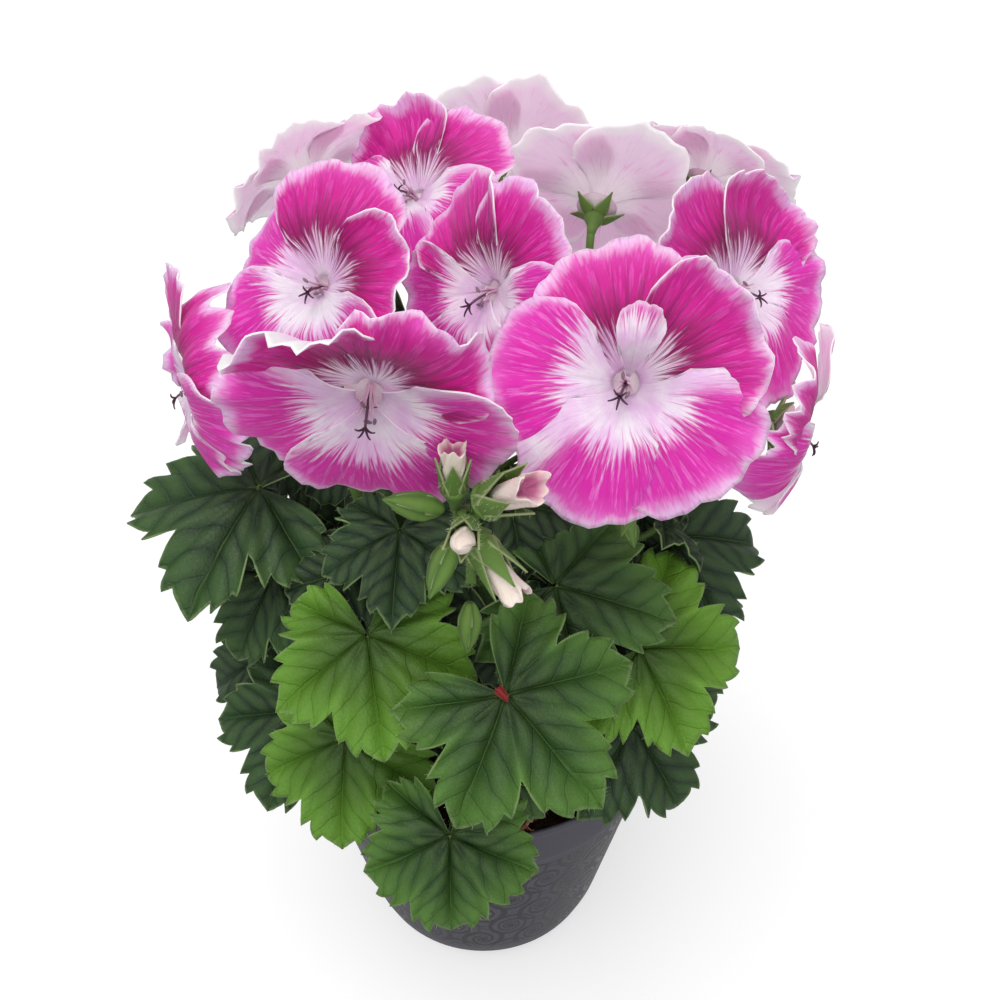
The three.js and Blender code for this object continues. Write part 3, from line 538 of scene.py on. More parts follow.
STEM_RADII = [3.1, 3.1, 2.9, 2.6, 2.2]
HEAD_STALK_RADII = [1.8, 1.5, 1.5, 1.9]
FLOWER_STALK_RADII = [1.1, 0.85, 0.85, 1.1]
LEAF_STALK_RADII = [0.9, 1.05, 0.95, 0.95, 1.2, 1.9]
KNOB_RADII = [1.2, 2.5, 3, 2.6, 1.2]
UMBEL_RADIUS = 3
STEM_HOLE_DEPTH = 24
LEAF_THICKNESS = 0.5
SCRAP_THICKNESS = 0.4
LEAF_HALF_ANGLE = 155
LEAF_SPAN = 2.6
LOBES = 5
LOBE_HALF = 3
EDGE_COUNT = 2 * LOBES * LOBE_HALF
STEPS_PER_TOOTH = 6
LEAF_RINGS = 14
INNER_STEPS_PER_TOOTH = 2
INNER_LEAF_RINGS = 8
LARGE_TOOTH = 0.1
SMALL_TOOTH = 0.075
RIB_SPACING = 0.2
RIB_SLANT = 0.9


def blade(at, face, spin, length, start, tone, **shape):
    """A leaf by its place, the way it faces, its turn and length, its stalk's start on the stem, its tone,
    which sets its own green and also its painted shade and light.
    """
    return {"at": at, "face": face, "spin": spin, "length": length, "start": start, "tone": tone, **shape}


# Each shoot: its name, its root, the points its stem passes, the middle of its flower head, its leaves.
STEMS = [
    (
        "leafy_stem_left",
        (-21, -20),
        [(-27, -24, 110), (-31, -27, 140), (-30, -28, 170)],
        (-38, -30, 200),
        [
            blade((-26.5, -62, 162), (-5, 52), 12, 28, 0.85, 0.85, lobing=0.24),
            blade((-35.5, -57, 123), (-12, 42), 2, 28, 0.55, 0.82, lobing=0.24),
            blade((-50, -43, 120), (-12, 46), -15, 28, 0.4, 0.1),
            blade((-64, -26, 125), (-35, 40), -50, 25, 0.45, 0.05),
            blade((-56, -30, 158), (-20, 38), -22, 27, 0.7, 0.15),
            blade((-59, -23, 181), (-8, 66), -84, 37, 0.9, 0.15),
            blade((-19, -46, 182), (-4, 62), 0, 22, 0.95, 0.05),
        ],
    ),
    (
        "leafy_stem_front",
        (0, -24),
        [(2, -32, 112), (3, -36, 140), (1, -42, 165)],
        (-1.4, -73, 202),
        [
            blade((7, -78, 157), (3, 44), 40, 32, 0.75, 0.5, lobing=0.36, scrap=True),
            blade((-7, -79, 111), (0, 34), 0, 25.5, 0.3, 0.5, lobing=0.18, pleat=0.12),
            blade((5, -62, 116), (24, 40), 46, 20, 0.35, 0.3),
        ],
    ),
    (
        "leafy_stem_right",
        (22, -18),
        [(28, -21, 110), (33, -22, 140), (34, -22, 170)],
        (44, -28, 202),
        [
            blade((42, -50, 148), (12, 44), 84, 31, 0.7, 0.95),
            blade((19.5, -50, 168), (5, 46), 74, 31, 0.95, 0.36),
            blade((44, -40, 112), (22, 36), 24, 31, 0.4, 0.1),
            blade((55, -14, 160), (25, 52), 78, 33, 0.9, 0.05),
            blade((60, -12, 116), (50, 42), 20, 28, 0.5, 0.15),
        ],
    ),
    (
        "leafy_stem_middle",
        (0, 4),
        [(1, 0, 110), (2, -2, 145), (0, -4, 178)],
        (0, -4, 212),
        [
            blade((-27, -3, 188), (-60, 70), 0, 23, 0.97, 0.2),
            blade((21, -2, 190), (70, 70), 0, 23, 0.94, 0.25),
            blade((2, 28, 188), (170, 64), 0, 25, 0.9, 0.3),
        ],
    ),
    (
        "leafy_stem_back_left",
        (-19, 22),
        [(-25, 27, 110), (-30, 31, 140), (-30, 32, 170)],
        (-32, 26, 206),
        None,
    ),
    (
        "leafy_stem_back_right",
        (20, 21),
        [(26, 26, 110), (31, 30, 140), (31, 31, 170)],
        (34, 24, 204),
        None,
    ),
]
# The two back shoots have tiers of leaves: each tier's height, its distance from the middle of the plant,
# its azimuths and where its stalks leave the stem; and each shoot's side and the seed that varies it.
TIERS = [(108, 60, (108, 156), 0.4), (137, 66, (106, 132, 158), 0.65), (171, 64, (122, 156), 0.9)]
STAGGER = 11
TIER_LEAVES = {4: (-1, 2), 5: (1, 12)}
# How many small leaves fill each shoot, and nine more, listed one by one.
INNER_LEAVES = [12, 10, 12, 7, 5, 5]
INNER_START = 0.25
INNER_REACH = 0.7
GOLDEN_ANGLE = 137.5
# Nine leaves put where the plant lies in shade between its flowers and leaves; their tone below 0 paints them
# nearly black, a painted shade.
PAINTED_SHADE_LEAVES = {
    0: [
        ((-43, -12, 190), (-10, 34), 10, 22),
        ((-52, -8, 186), (-30, 40), -20, 20),
        ((-30, -18, 188), (5, 30), 0, 20),
        ((-41, -14, 170), (-10, 30), 0, 17),
    ],
    1: [((8, -38, 186), (12, 32), 8, 20)],
    2: [
        ((50, -12, 190), (20, 36), 10, 22),
        ((28, -20, 190), (-5, 30), 0, 20),
        ((46, -13, 171), (12, 30), 0, 17),
    ],
    3: [((-20, 4, 221), (-10, 22), 0, 17)],
}
SHADED_START = 0.9
PAINTED_SHADE_TONE = -0.3


def seeded_random(seed):
    """The small repeatable random numbers that place the leaves of the back and vary the flowers."""
    state = seed * 7919 + 1
    while True:
        state = state * 16807 % 2147483647
        yield state / 2147483647


def tier_leaves(side, seed):
    """The leaves of a back shoot, in staggered tiers round its side of the plant."""
    random = seeded_random(seed)

    def around(middle, spread):
        return middle + spread * (next(random) - 0.5)

    leaves = []
    for height, radius, azimuths, start in TIERS:
        for k, azimuth in enumerate(azimuths):
            a = math.radians(side * azimuth)
            r = around(radius, 6)
            at = (r * math.sin(a), -r * math.cos(a), around(height + k % 2 * STAGGER, 4))
            face = (side * azimuth + around(0, 16), around(46, 14))
            tone = 0.12 + 0.5 * (k % 2) + 0.1 * side
            leaves.append(blade(at, face, around(0, 26), around(30, 5), start, tone))
    return leaves


class Facing:
    """The place of a blade or flower: its face looks along an azimuth (0 is -Y, positive towards +X) and
    an elevation, and its own +Y lies down the slope, turned by spin towards a viewer's right."""

    def __init__(self, at, face, spin=0):
        a, e, s = (math.radians(angle) for angle in (*face, spin))
        self.at = vector(*at)
        self.normal = vector(math.sin(a) * math.cos(e), -math.cos(a) * math.cos(e), math.sin(e))
        down = vector(math.sin(a) * math.sin(e), -math.cos(a) * math.sin(e), -math.cos(e))
        self.tip = down * math.cos(s) + vector(math.cos(a), math.sin(a), 0) * math.sin(s)
        self.side = np.cross(self.tip, self.normal)

    def place(self, x, y, z):
        x, y, z = (np.asarray(value, float)[..., None] for value in (x, y, z))
        return self.at + x * self.side + y * self.tip + z * self.normal

    def place_round(self, radius, turns, height):
        """Rings round the normal, each of its own radius and height."""
        return self.place(radius * np.sin(turns), radius * np.cos(turns), height + 0 * turns)


def sheet(skin, points, thickness, slots, uv, rim, tone, tint=0.5):
    """A thin closed blade on a grid of points, with material slots for its two sides and its edge."""
    rows, columns = points.shape[:2]
    down, across = np.gradient(points, axis=(0, 1))
    normal = np.cross(across, down)
    normal /= np.maximum(np.linalg.norm(normal, axis=-1, keepdims=True), 1e-9)
    number = rows * columns
    cells = [(r * columns + c, r * columns + c + 1) for r in range(rows - 1) for c in range(columns - 1)]
    top = [[a, b, b + columns, a + columns] for a, b in cells]
    edge = [*range(columns), *range(2 * columns - 1, number, columns)]
    edge += [*range(number - 2, number - columns - 1, -1), *range(number - 2 * columns, 0, -columns)]
    under = [[i + number for i in face[::-1]] for face in top]
    wall = [[b, a, a + number, b + number] for a, b in zip(edge, [*edge[1:], edge[0]])]
    both = np.concatenate([(points + side * normal * thickness / 2).reshape(-1, 3) for side in (1, -1)])
    first = skin.count
    uv, rim = np.tile(np.reshape(uv, (-1, 2)), (2, 1)), np.tile(np.ravel(rim), 2)
    skin.add(both, top, slots[0], uv=uv, rim=rim, tone=tone, tint=tint)
    skin.faces += [[i + first for i in face] for face in under + wall]
    skin.slots += [slots[1]] * len(under) + [slots[2]] * len(wall)


def leaf_outline(i, in_lobe, lobing):
    """Outline radius of a leaf without its teeth, as a share of its length, at border point i of the fan."""
    away = np.abs(2 * i / EDGE_COUNT - 1)
    return (1 - 0.36 * away**2) * (1 - lobing * in_lobe**2.7)


def leaf_teeth(i, x, y, uneven):
    """How far each border point stands out sideways and forwards, as teeth that lean to their lobe's tip."""
    place = i % (2 * LOBE_HALF)
    saw = np.where(place < LOBE_HALF, i % 1, -i % 1)
    saw = np.where(np.abs(place - LOBE_HALF) < 1e-6, 1.0, saw) - 0.4
    height = uneven * saw * np.where(np.round(i) % 2 == 1, LARGE_TOOTH, SMALL_TOOTH)
    along = np.stack([np.gradient(x[0]), np.gradient(y[0])])
    along /= np.linalg.norm(along, axis=0)
    lobe = np.clip(i // (2 * LOBE_HALF), 0, LOBES - 1) * 2 * LOBE_HALF + LOBE_HALF
    axis = np.radians(LEAF_HALF_ANGLE * (2 * lobe / EDGE_COUNT - 1))
    return height * (0.8 * along[1] - 0.5 * np.sin(axis)), height * (0.5 * np.cos(axis) - 0.8 * along[0])


def add_leaf(skin, stem, leaf, number):
    length, place_of = leaf["length"], Facing(leaf["at"], leaf["face"], leaf["spin"])
    rng = np.random.default_rng(number)
    steps, rings = STEPS_PER_TOOTH, LEAF_RINGS
    if leaf.get("inner"):
        steps, rings = INNER_STEPS_PER_TOOTH, INNER_LEAF_RINGS
    i = np.linspace(0, EDGE_COUNT, EDGE_COUNT * steps + 1)[None]
    q = np.linspace(0, 1, rings)[:, None] ** 0.9
    uneven = np.interp(i, np.arange(EDGE_COUNT + 1), rng.uniform(0.55, 1.4, EDGE_COUNT + 1))
    in_lobe = np.abs(i % (2 * LOBE_HALF) / LOBE_HALF - 1)
    share = np.maximum(q, 0.03) * leaf_outline(i, in_lobe, leaf.get("lobing", 0.3) * (0.7 + 0.3 * q))
    fold = 2 * np.sin(0.5 * math.pi * in_lobe) ** 0.85 - 1
    turn = np.radians(LEAF_HALF_ANGLE * (2 * i / EDGE_COUNT - 1))
    x, y = -share * np.sin(turn), share * np.cos(turn)
    tooth_x, tooth_y = leaf_teeth(i, x[-1:], y[-1:], uneven)
    towards_edge = np.clip((q - 0.5) / 0.5, 0, 1) ** 1.7
    x, y = x + tooth_x * towards_edge, y + tooth_y * towards_edge
    # The blade is gathered to its teeth, bulges between the side veins, and its rim waves.
    off_vein = np.radians(LEAF_HALF_ANGLE * 2 / EDGE_COUNT) * LOBE_HALF * in_lobe
    ribs = share * (np.cos(off_vein) - RIB_SLANT * np.sin(off_vein)) / RIB_SPACING
    bulges = 0.003 * np.clip(share / 0.3, 0, 1) * np.cos(FULL_TURN * ribs)
    gathers = 0.03 * q**1.4 * np.cos(math.pi * (i + 1)) + 0.006 * q**3 * np.cos(FULL_TURN * i)
    wave = 0.05 * q**3 * np.sin(1.1 * i + 2.4 * number) * np.sin(0.37 * i + number)
    bend = rng.uniform(-0.1, 0.06) * x**2 + rng.uniform(-0.09, 0.09) * x * y
    bend = bend + rng.uniform(-0.06, 0.06) * x * q
    height = leaf.get("pleat", 0.085) * fold * share - 0.22 * share**2 + wave + bend - bulges - gathers
    points = place_of.place(length * x, length * y, length * height)
    uv = np.stack([0.5 + x / LEAF_SPAN, 0.5 + y / LEAF_SPAN], -1)
    rim = np.broadcast_to(q, share.shape)
    # Seen from above, the grid's far side is the leaf's upper one.
    sheet(skin, points, LEAF_THICKNESS, (2, 1, 3), uv, rim, leaf["tone"], rng.uniform(0, 1))
    if leaf.get("scrap"):
        u, w = np.linspace(-1, 1, 7)[None], np.linspace(0, 1, 9)[:, None]
        x, y = 0.4 + 1.05 * u * (1 - 0.7 * w**2), 3.8 * w - 2.4 + 0 * u
        points = place_of.place(x, y, 1.7 - 1.3 * u**2 + 0.6 * w)
        sheet(skin, points, SCRAP_THICKNESS, (4, 4, 4), 0 * points[..., :2], np.abs(u) + 0 * w, 0.5)
    # Its stalk bends from the stem up to the open side of the fan.
    top = place_of.place(0, 1.14, -0.2)
    joint = stem.at(leaf["start"])
    reach = np.linalg.norm(place_of.at - joint)
    low = joint + 0.35 * (place_of.at - joint) + vector(0, 0, 0.12 * reach)
    stalk = bezier(top, top - 0.3 * reach * place_of.normal, low, joint)
    tube(skin, stalk, LEAF_STALK_RADII, 9, 26, tone=0.5)


def inner_leaves(stem, number):
    """Young leaves close to a stem, which fill the plant behind its outer leaves; most have tones below 0,
    which paint them darker as painted shade.
    """
    rng = np.random.default_rng(40 + number)
    count = INNER_LEAVES[number]
    leaves = []
    for k in range(count):
        start = INNER_START + INNER_REACH * (k + rng.uniform(0.2, 0.8)) / count
        base = stem.at(start)
        azimuth = math.degrees(math.atan2(base[0], -base[1])) + GOLDEN_ANGLE * k + rng.uniform(-20, 20)
        outward = math.degrees(math.atan2(base[0], -base[1] + 12))
        azimuth = outward + 0.5 * ((azimuth - outward + 180) % 360 - 180)
        out, a = rng.uniform(9, 20), math.radians(azimuth)
        at = base + vector(out * math.sin(a), -out * math.cos(a), rng.uniform(4, 14))
        face = (azimuth + rng.uniform(-15, 15), rng.uniform(30, 62))
        # Tones mostly below 0 paint these inner leaves darker: painted shade.
        spin, length, tone = rng.uniform(-30, 30), rng.uniform(14, 21), rng.uniform(-0.45, 0.05)
        leaves.append(blade(at, face, spin, length, start - 0.06, tone, inner=True))
    for shaded in PAINTED_SHADE_LEAVES.get(number, ()):
        leaves.append(blade(*shaded, SHADED_START, PAINTED_SHADE_TONE, inner=True))
    return leaves


OPEN_CUP = {"rim": 2.8, "depth": 0.9, "tip_out": 11, "tip_up": 2.6, "back": -1.5, "width": 2.0}
FAR_CUP = {**OPEN_CUP, "tip_out": 7.5, "tip_up": 3.4, "width": 1.6}
BUD_CUP = {"rim": 4.1, "depth": 0.5, "tip_out": 4.9, "tip_up": 12, "back": -0.3, "width": 2.7}
CUP_LENGTH = 6
CUP_SIDES = 15
SEPALS = 5
SEPAL_THICKNESS = 0.45
BUD_LENGTH = 15
GREEN_BUD_LENGTH = 15.5
GREEN_BUD_SIDES = 40
GREEN_BUD_RINGS = 24

# Each flower: its name, its shoot's number, its throat's place, the way it faces, its turn, its size, how
# far its top leans forward, and the seed that varies it.
BLOOMS = [
    ("bloom_left_front", 0, (-19.6, -70, 231.4), (-4, -22), -5, 1, 11, 2),
    ("bloom_left_top", 0, (-34, -30, 238), (-26, 27), 30, 0.95, 0, 3),
    ("bloom_left_side", 0, (-66, -26, 214), (-66, -4), 0, 0.95, 0, 11),
    ("bloom_right_front", 2, (32, -62, 228), (-8, 22), -22, 1, 0, 1),
    ("bloom_right_top", 2, (61, -20, 234), (35, 26), 0, 0.95, 0, 8),
    ("bloom_right_side", 2, (75, -33, 205), (72, -12), 0, 0.85, 0, 10),
    ("bloom_middle_front", 3, (6, -34, 239), (-44, 10), 0, 0.85, 0, 4),
    ("bloom_middle_left", 3, (-15, 4, 250), (-30, 46), 0, 0.9, 0, 5),
    ("bloom_middle_back", 3, (7, 31, 253), (175, 35), 0, 0.95, 0, 6),
    ("bloom_back_left_top", 4, (-45, 15, 251), (-120, 45), 0, 0.9, 0, 12),
    ("bloom_back_left", 4, (-32, 54, 232), (-155, 20), 0, 1, 0, 13),
    ("bloom_back_right_near", 5, (31, 8, 247), (165, 35), 0, 0.9, 0, 7),
    ("bloom_back_right_top", 5, (61, 22, 251), (140, 48), 0, 0.9, 0, 9),
    ("bloom_back_right", 5, (34, 56, 230), (158, 16), 0, 1, 0, 14),
]
BUDS = [
    ("bud_pink", 1, (4, -80.5, 210.5), (40, 35), 1.05),
    ("bud_upright", 1, (-3.5, -76.5, 211.5), (2, 74), 0.75),
    ("bud_facing", 1, (-1, -82, 204.5), (-5, 12), 0.75),
    ("bud_right", 1, (1.5, -79, 199), (58, -46), 0.95),
]
GREEN_BUDS = [
    (1, (-6, -79, 207.5), (-60, 25), 0.9),
    (1, (-4, -79, 200), (-40, -55), 0.85),
    (1, (-1, -72, 179), (-10, -75), 0.8),
    (2, (38, -50, 196), (-25, -40), 0.8),
    (2, (34, -48, 192), (30, -50), 0.8),
]


def add_stalk(skin, umbel, place_of, back):
    """A flower's or bud's stalk, from the umbel up to the cup behind it."""
    tail = place_of.place(0, 0, back - CUP_LENGTH)
    reach = np.linalg.norm(tail - umbel)
    bend = tail - 0.15 * reach * place_of.normal - vector(0, 0, 0.35 * reach)
    low = umbel + 0.3 * (tail - umbel) + vector(0, 0, 0.12 * reach)
    tube(skin, bezier(umbel, low, bend, tail), FLOWER_STALK_RADII, 8, 24, tone=0.75)


def add_cup(skin, umbel, place_of, cup, width, length):
    """The green cup behind an open flower or bud and its five pointed sepals."""
    add_stalk(skin, umbel, place_of, cup["back"])
    rim, depth, back = cup["rim"] * width, cup["depth"], cup["back"]
    profile = [(1.0, -CUP_LENGTH - 0.4), (1.3, -4.5), (0.62 * rim, -2.8), (rim, -depth)]
    profile += [(0.86 * rim, 0.1), (0.5 * rim, -0.6)]
    radius, height = np.array(profile).T[..., None]
    points = place_of.place_round(radius, turns_of(CUP_SIDES), back + height)
    skin.add(points, round_faces(len(profile), CUP_SIDES), tone=0.8)
    t = np.linspace(0, 1, 12)[:, None]
    a = np.linspace(-1, 1, 7)[None]
    out = 0.75 * rim + (cup["tip_out"] * width - 0.75 * rim) * t
    half = cup["width"] * width * (1 - t**1.6) * (0.72 + 0.5 * np.sin(math.pi * np.sqrt(t))) + 0.08
    bow = 0.32 * half * a**2
    up = back - depth + (cup["tip_up"] * length + depth) * t**1.1 + 0 * a
    # A bud's sepals bow round it; an open flower's bow upwards.
    if cup is BUD_CUP:
        out = out - bow
    else:
        up = up + bow
    for k in range(SEPALS):
        turn = -FULL_TURN * k / SEPALS
        x = out * math.sin(turn) + half * a * math.cos(turn)
        y = out * math.cos(turn) - half * a * math.sin(turn)
        points = place_of.place(x, y, up + 0.5 * np.sin(3 * t + k))[:, ::-1]
        uv = np.stack([0.5 + 0.5 * a + 0 * t, t + 0 * a], -1)
        sheet(skin, points, SEPAL_THICKNESS, (0, 0, 0), uv, np.abs(a) + 0 * t, 0.85)


def petal_roll(place_of, size, opened, sides=48, rings=40):
    """Points of a bud's three petals rolled round one another, closed at the tip or open to the inside."""
    t = np.linspace(0, 1, rings)[:, None]
    turns = turns_of(sides)
    wound = (3 * turns / FULL_TURN + 1.1 * t) % 1
    if opened:
        knots = [0, 0.05, 0.2, 0.4, 0.6, 0.72, 0.78, 0.86, 0.94, 1]
        width = np.interp(t, knots, [1.2, 1.7, 2.7, 3.1, 3.3, 3.7, 3.5, 2.5, 1.5, 0.5])
        height = np.interp(t, knots, [0, 0.06, 0.27, 0.52, 0.8, 0.98, 1.0, 0.9, 0.8, 0.76])
        ragged = np.interp(t, [0.4, 0.75, 1], [0, 1, 0.2])
        height = height + ragged * (0.07 * np.sin(3 * turns + 1) + 0.04 * np.sin(7 * turns + 2) - 0.04)
    else:
        knots = [0, 0.06, 0.3, 0.55, 0.75, 0.88, 0.95, 1]
        width = np.interp(t, knots, [1.2, 1.7, 3.0, 3.35, 2.9, 1.9, 1.0, 0.25])
        height = t + 0 * turns
        ragged = 0
    radius = width * size * (0.86 + 0.2 * wound**0.7) * (1 + 0.1 * ragged * np.sin(5 * turns))
    flat = 1 - 0.16 * np.clip(2 * t, 0, 1)
    y = radius * np.cos(turns) * flat + 0.5 * size * np.sin(math.pi * t)
    inside = np.interp(t, [0.76, 0.9], [0, 1]) * opened + 0 * turns
    return place_of.place(radius * np.sin(turns), y, BUD_LENGTH * size * height), wound, t, inside


def add_green_bud(skin, umbel, place_of, size):
    """A closed bud: five sepals pressed together to a point, each with its pale edge over the next one."""
    add_stalk(skin, umbel, place_of, 1)
    t = np.linspace(0, 1, GREEN_BUD_RINGS)[:, None]
    turns = turns_of(GREEN_BUD_SIDES)
    lap = (SEPALS * turns / FULL_TURN + 0.3 * t) % 1
    width = np.interp(t, [0, 0.07, 0.28, 0.5, 0.75, 0.9, 1], [1.2, 2.0, 3.2, 3.2, 2.1, 0.9, 0.2])
    radius = 1.05 * size * width * (0.88 + 0.2 * lap**1.5)
    points = place_of.place_round(radius, turns, GREEN_BUD_LENGTH * size * t)
    tone = 0.35 + 0.75 * np.sin(math.pi * lap) * (1 - 0.4 * t)
    skin.add(points, round_faces(GREEN_BUD_RINGS, GREEN_BUD_SIDES), rim=lap**2, tone=tone)


MOTTLE = bpy.data.node_groups.new("plant_mottle", "ShaderNodeTree")
for label, kind in (("Colour", "Color"), ("Scale", "Float"), ("Amount", "Float")):
    MOTTLE.interface.new_socket(label, in_out="INPUT", socket_type="NodeSocket" + kind)
MOTTLE.interface.new_socket("Colour", in_out="OUTPUT", socket_type="NodeSocketColor")
recipe = Recipe(MOTTLE)
given = recipe.inputs()
change = (recipe.noise(given["Scale"], 5, 0.62) - 0.5) * given["Amount"] + 1.0
recipe.output(recipe.mix(1.0, given["Colour"], change, "MULTIPLY"))


def mottled(recipe, base, scale, amount):
    """The colour made lighter and darker in soft irregular patches."""
    inputs = {"Colour": base, "Scale": scale, "Amount": amount}
    return recipe.node("ShaderNodeGroup", 0, inputs, node_tree=MOTTLE)


def vein_masks(recipe):
    """Main veins, side veins, fine net and bulges of a leaf, worked out from its flat coordinates."""
    flat_place = recipe.place("UV")
    u, v, _ = recipe.split(flat_place)
    x, y = (u - 0.5) * -LEAF_SPAN, (v - 0.5) * LEAF_SPAN
    radius = recipe.math("SQRT", x * x + y * y)
    lobe = math.radians(2 * LEAF_HALF_ANGLE / LOBES)
    turn = recipe.math("ARCTAN2", x, y) / lobe + (recipe.noise(70, 1) - 0.5) * 0.12
    away = abs(turn - recipe.math("ROUND", turn)) * lobe
    across = radius * recipe.math("SINE", away)
    along = radius * recipe.math("COSINE", away)
    main = (across - radius.span(0.011, 0.002)).rise(0.01, -0.004)
    ribs = (along - across * RIB_SLANT) / RIB_SPACING + recipe.noise(7, 2, where=flat_place) * 0.9
    beat = abs(recipe.math("FRACT", ribs) - 0.5)
    side = beat.rise(0.44, 0.5) * radius.rise(0.16, 0.3)
    cells = {"Vector": flat_place, "Scale": 62.0}
    net = recipe.node("ShaderNodeTexVoronoi", "Distance", cells, feature="DISTANCE_TO_EDGE").rise(0.12, 0.02)
    return main, side, net, beat.rise(0.5, 0.1) * across.rise(0.0, 0.07)


leaf_green, recipe = new_material("leaf_upper_side", Roughness=0.45, Specular_IOR_Level=0.25)
main, side, net, bulge = vein_masks(recipe)
rim, tone = recipe.attribute("rim"), recipe.attribute("tone")
# The green goes by tone: nearly black, bluish dark, mid green, fresh yellow-green. It is partly each leaf's
# own green and partly painted shade and light: low tones darken leaves that lie under the flowers, and tones
# below 0 paint a nearly black shade.
flat = recipe.mix(tone.rise(0.0, 0.5), colour(34, 54, 38), colour(52, 84, 38))
flat = recipe.mix(tone.rise(0.45, 1.0), flat, colour(88, 132, 30))
flat = recipe.mix(tone.rise(0.0, -0.5), flat, colour(12, 24, 13))
flat = mottled(recipe, flat, 90, 0.6)
# Painted light: the outer part of the brighter-toned leaves is lit yellow-green.
flat = recipe.mix(rim.rise(0.55, 1.0) * (tone * 0.5), flat, colour(116, 166, 60))
# Painted shade: each leaf darkens towards its middle, where its stalk joins.
flat = recipe.mix(rim.rise(0.95, 0.05) * 0.75, flat, colour(14, 32, 9))
# Painted highlight: the bulges between the side veins are lighter.
flat = recipe.mix(bulge * 0.13, flat, colour(112, 150, 78))
# Painted shade: the side-vein furrows are darker.
flat = recipe.mix(side * 0.2, flat, colour(20, 42, 14))
flat = recipe.mix(main * 0.22, flat, colour(104, 132, 66))
pale_rim = (rim + recipe.noise(700) * 0.04).rise(0.98, 1.02) * 0.35
furrows = recipe.math("MAXIMUM", main * 0.9, side * 0.4)
relief = (bulge + recipe.noise(420, 3)) * 0.5 - furrows - net * 0.15
flat = recipe.mix(pale_rim, flat, colour(150, 176, 118))
recipe.shade(Base_Color=flat, Normal=recipe.bump(relief, 0.5, 0.8))

leaf_rim, recipe = new_material("leaf_edge", Roughness=0.6, Specular_IOR_Level=0.3)
recipe.shade(Base_Color=mottled(recipe, colour(118, 142, 88), 300, 0.5))

leaf_back, recipe = new_material("leaf_underside", Roughness=0.62, Specular_IOR_Level=0.2)
main, side, _, bulge = vein_masks(recipe)
# The tone darkens the underside as well: partly its own green, partly painted shade.
flat = recipe.mix(recipe.attribute("tone"), colour(66, 92, 62), colour(116, 146, 84))
flat = mottled(recipe, flat, 120, 0.25)
lines = recipe.math("MAXIMUM", main * 0.8, side * 0.55)
relief = recipe.math("MAXIMUM", main, side) - bulge * 0.6
recipe.shade(Base_Color=recipe.mix(lines, flat, colour(134, 156, 100)), Normal=recipe.bump(relief, 0.7, 0.6))

stem_green, recipe = new_material("hairy_stem", Roughness=0.55, Specular_IOR_Level=0.25, Sheen_Weight=0.05)
flat = recipe.mix(recipe.attribute("tone"), colour(50, 78, 36), colour(104, 138, 62))
woody = recipe.split(recipe.place())[2].rise(125 * MM, 85 * MM) * 0.75
flat = mottled(recipe, recipe.mix(woody, flat, colour(104, 84, 56)), 200, 0.35)
sepal_edge = recipe.attribute("rim").rise(0.74, 0.98) * 0.55
flat = recipe.mix(sepal_edge, flat, colour(188, 192, 150))
recipe.shade(Base_Color=flat, Normal=recipe.bump(recipe.noise(900, 3), 0.35, 0.25))

dry_scrap, recipe = new_material("dry_red_scrap", Roughness=0.6, Specular_IOR_Level=0.35)
flat = recipe.mix(recipe.attribute("rim").rise(0.6, 1.0), colour(122, 22, 30), colour(196, 110, 84))
recipe.shade(Base_Color=mottled(recipe, flat, 700, 0.6))

hair_matter, recipe = new_material("plant_hair", Roughness=0.5, Specular_IOR_Level=0.3)
recipe.shade(Base_Color=mottled(recipe, colour(196, 208, 170), 40, 0.2))

# Hairs stand on stems, cups, leaf edges and the dry scrap, not on the two sides of a leaf.
hairs = Field("short_hairs", {"Density": 390000.0, "Length": 0.95, "Radius": 0.04, "Seed": 11})
off_sides = abs(hairs.node("GeometryNodeInputMaterialIndex") - 1.5)
on_edges = hairs.scatter(hairs.math("GREATER_THAN", off_sides, 1.0))
outwards = Term(hairs, on_edges.socket.node.outputs["Rotation"])
cone = {"Vertices": 3, "Radius Bottom": hairs.given["Radius"] * MM, "Depth": hairs.given["Length"] * MM}
hair = hairs.node("GeometryNodeMeshCone", 0, cone)
hairs.plant(on_edges, hair, outwards, hairs.chance(0.5, 1.2, 2), hair_matter)

for number, (name, (x, y), path, umbel, leaves) in enumerate(STEMS):
    skin = Skin()
    umbel = vector(*umbel)
    shoot = flowing([(x, y, SOIL_TOP - STEM_HOLE_DEPTH + 2), (x, y, SOIL_TOP), *path])
    tube(skin, shoot, STEM_RADII, 16, 60, tone=0.3)
    head_stalk = bezier(shoot.at(0.97), shoot.at(1) + vector(0, 0, 4 * UMBEL_RADIUS), umbel)
    tube(skin, head_stalk, HEAD_STALK_RADII, 12, 36, tone=0.5)
    knob = Curve([umbel - [0, 0, 2.6], umbel, umbel + [0, 0, 2.4]])
    tube(skin, knob, KNOB_RADII, 12, 10, tone=0.7)
    leaves = leaves or tier_leaves(*TIER_LEAVES[number])
    for k, leaf in enumerate(leaves + inner_leaves(shoot, number)):
        add_leaf(skin, shoot, leaf, 20 * number + k)
    for _, owner, at, face, spin, size, _, _ in BLOOMS:
        if owner == number:
            cup = FAR_CUP if abs(face[0]) > 90 else OPEN_CUP
            add_cup(skin, umbel, Facing(at, face, spin), cup, 1, size)
    for _, owner, at, face, size in BUDS:
        if owner == number:
            add_cup(skin, umbel, Facing(at, face), BUD_CUP, size, size)
    for owner, at, face, size in GREEN_BUDS:
        if owner == number:
            add_green_bud(skin, umbel, Facing(at, face), size)
    finishes = [stem_green, leaf_green, leaf_back, leaf_rim, dry_scrap]
    shoot_piece = skin.build(name.replace("leafy_stem", "leafy_shoot"), finishes)
    hairs.apply(shoot_piece)
    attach(shoot_piece, "root")
    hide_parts(name)


# Open flowers
# Each flower is one piece of five thin, soft, ruffled petals in layers round a pale throat, coloured by
# the plant itself: upper petals with a deep blotch and dark feathered lines, all edged in white.

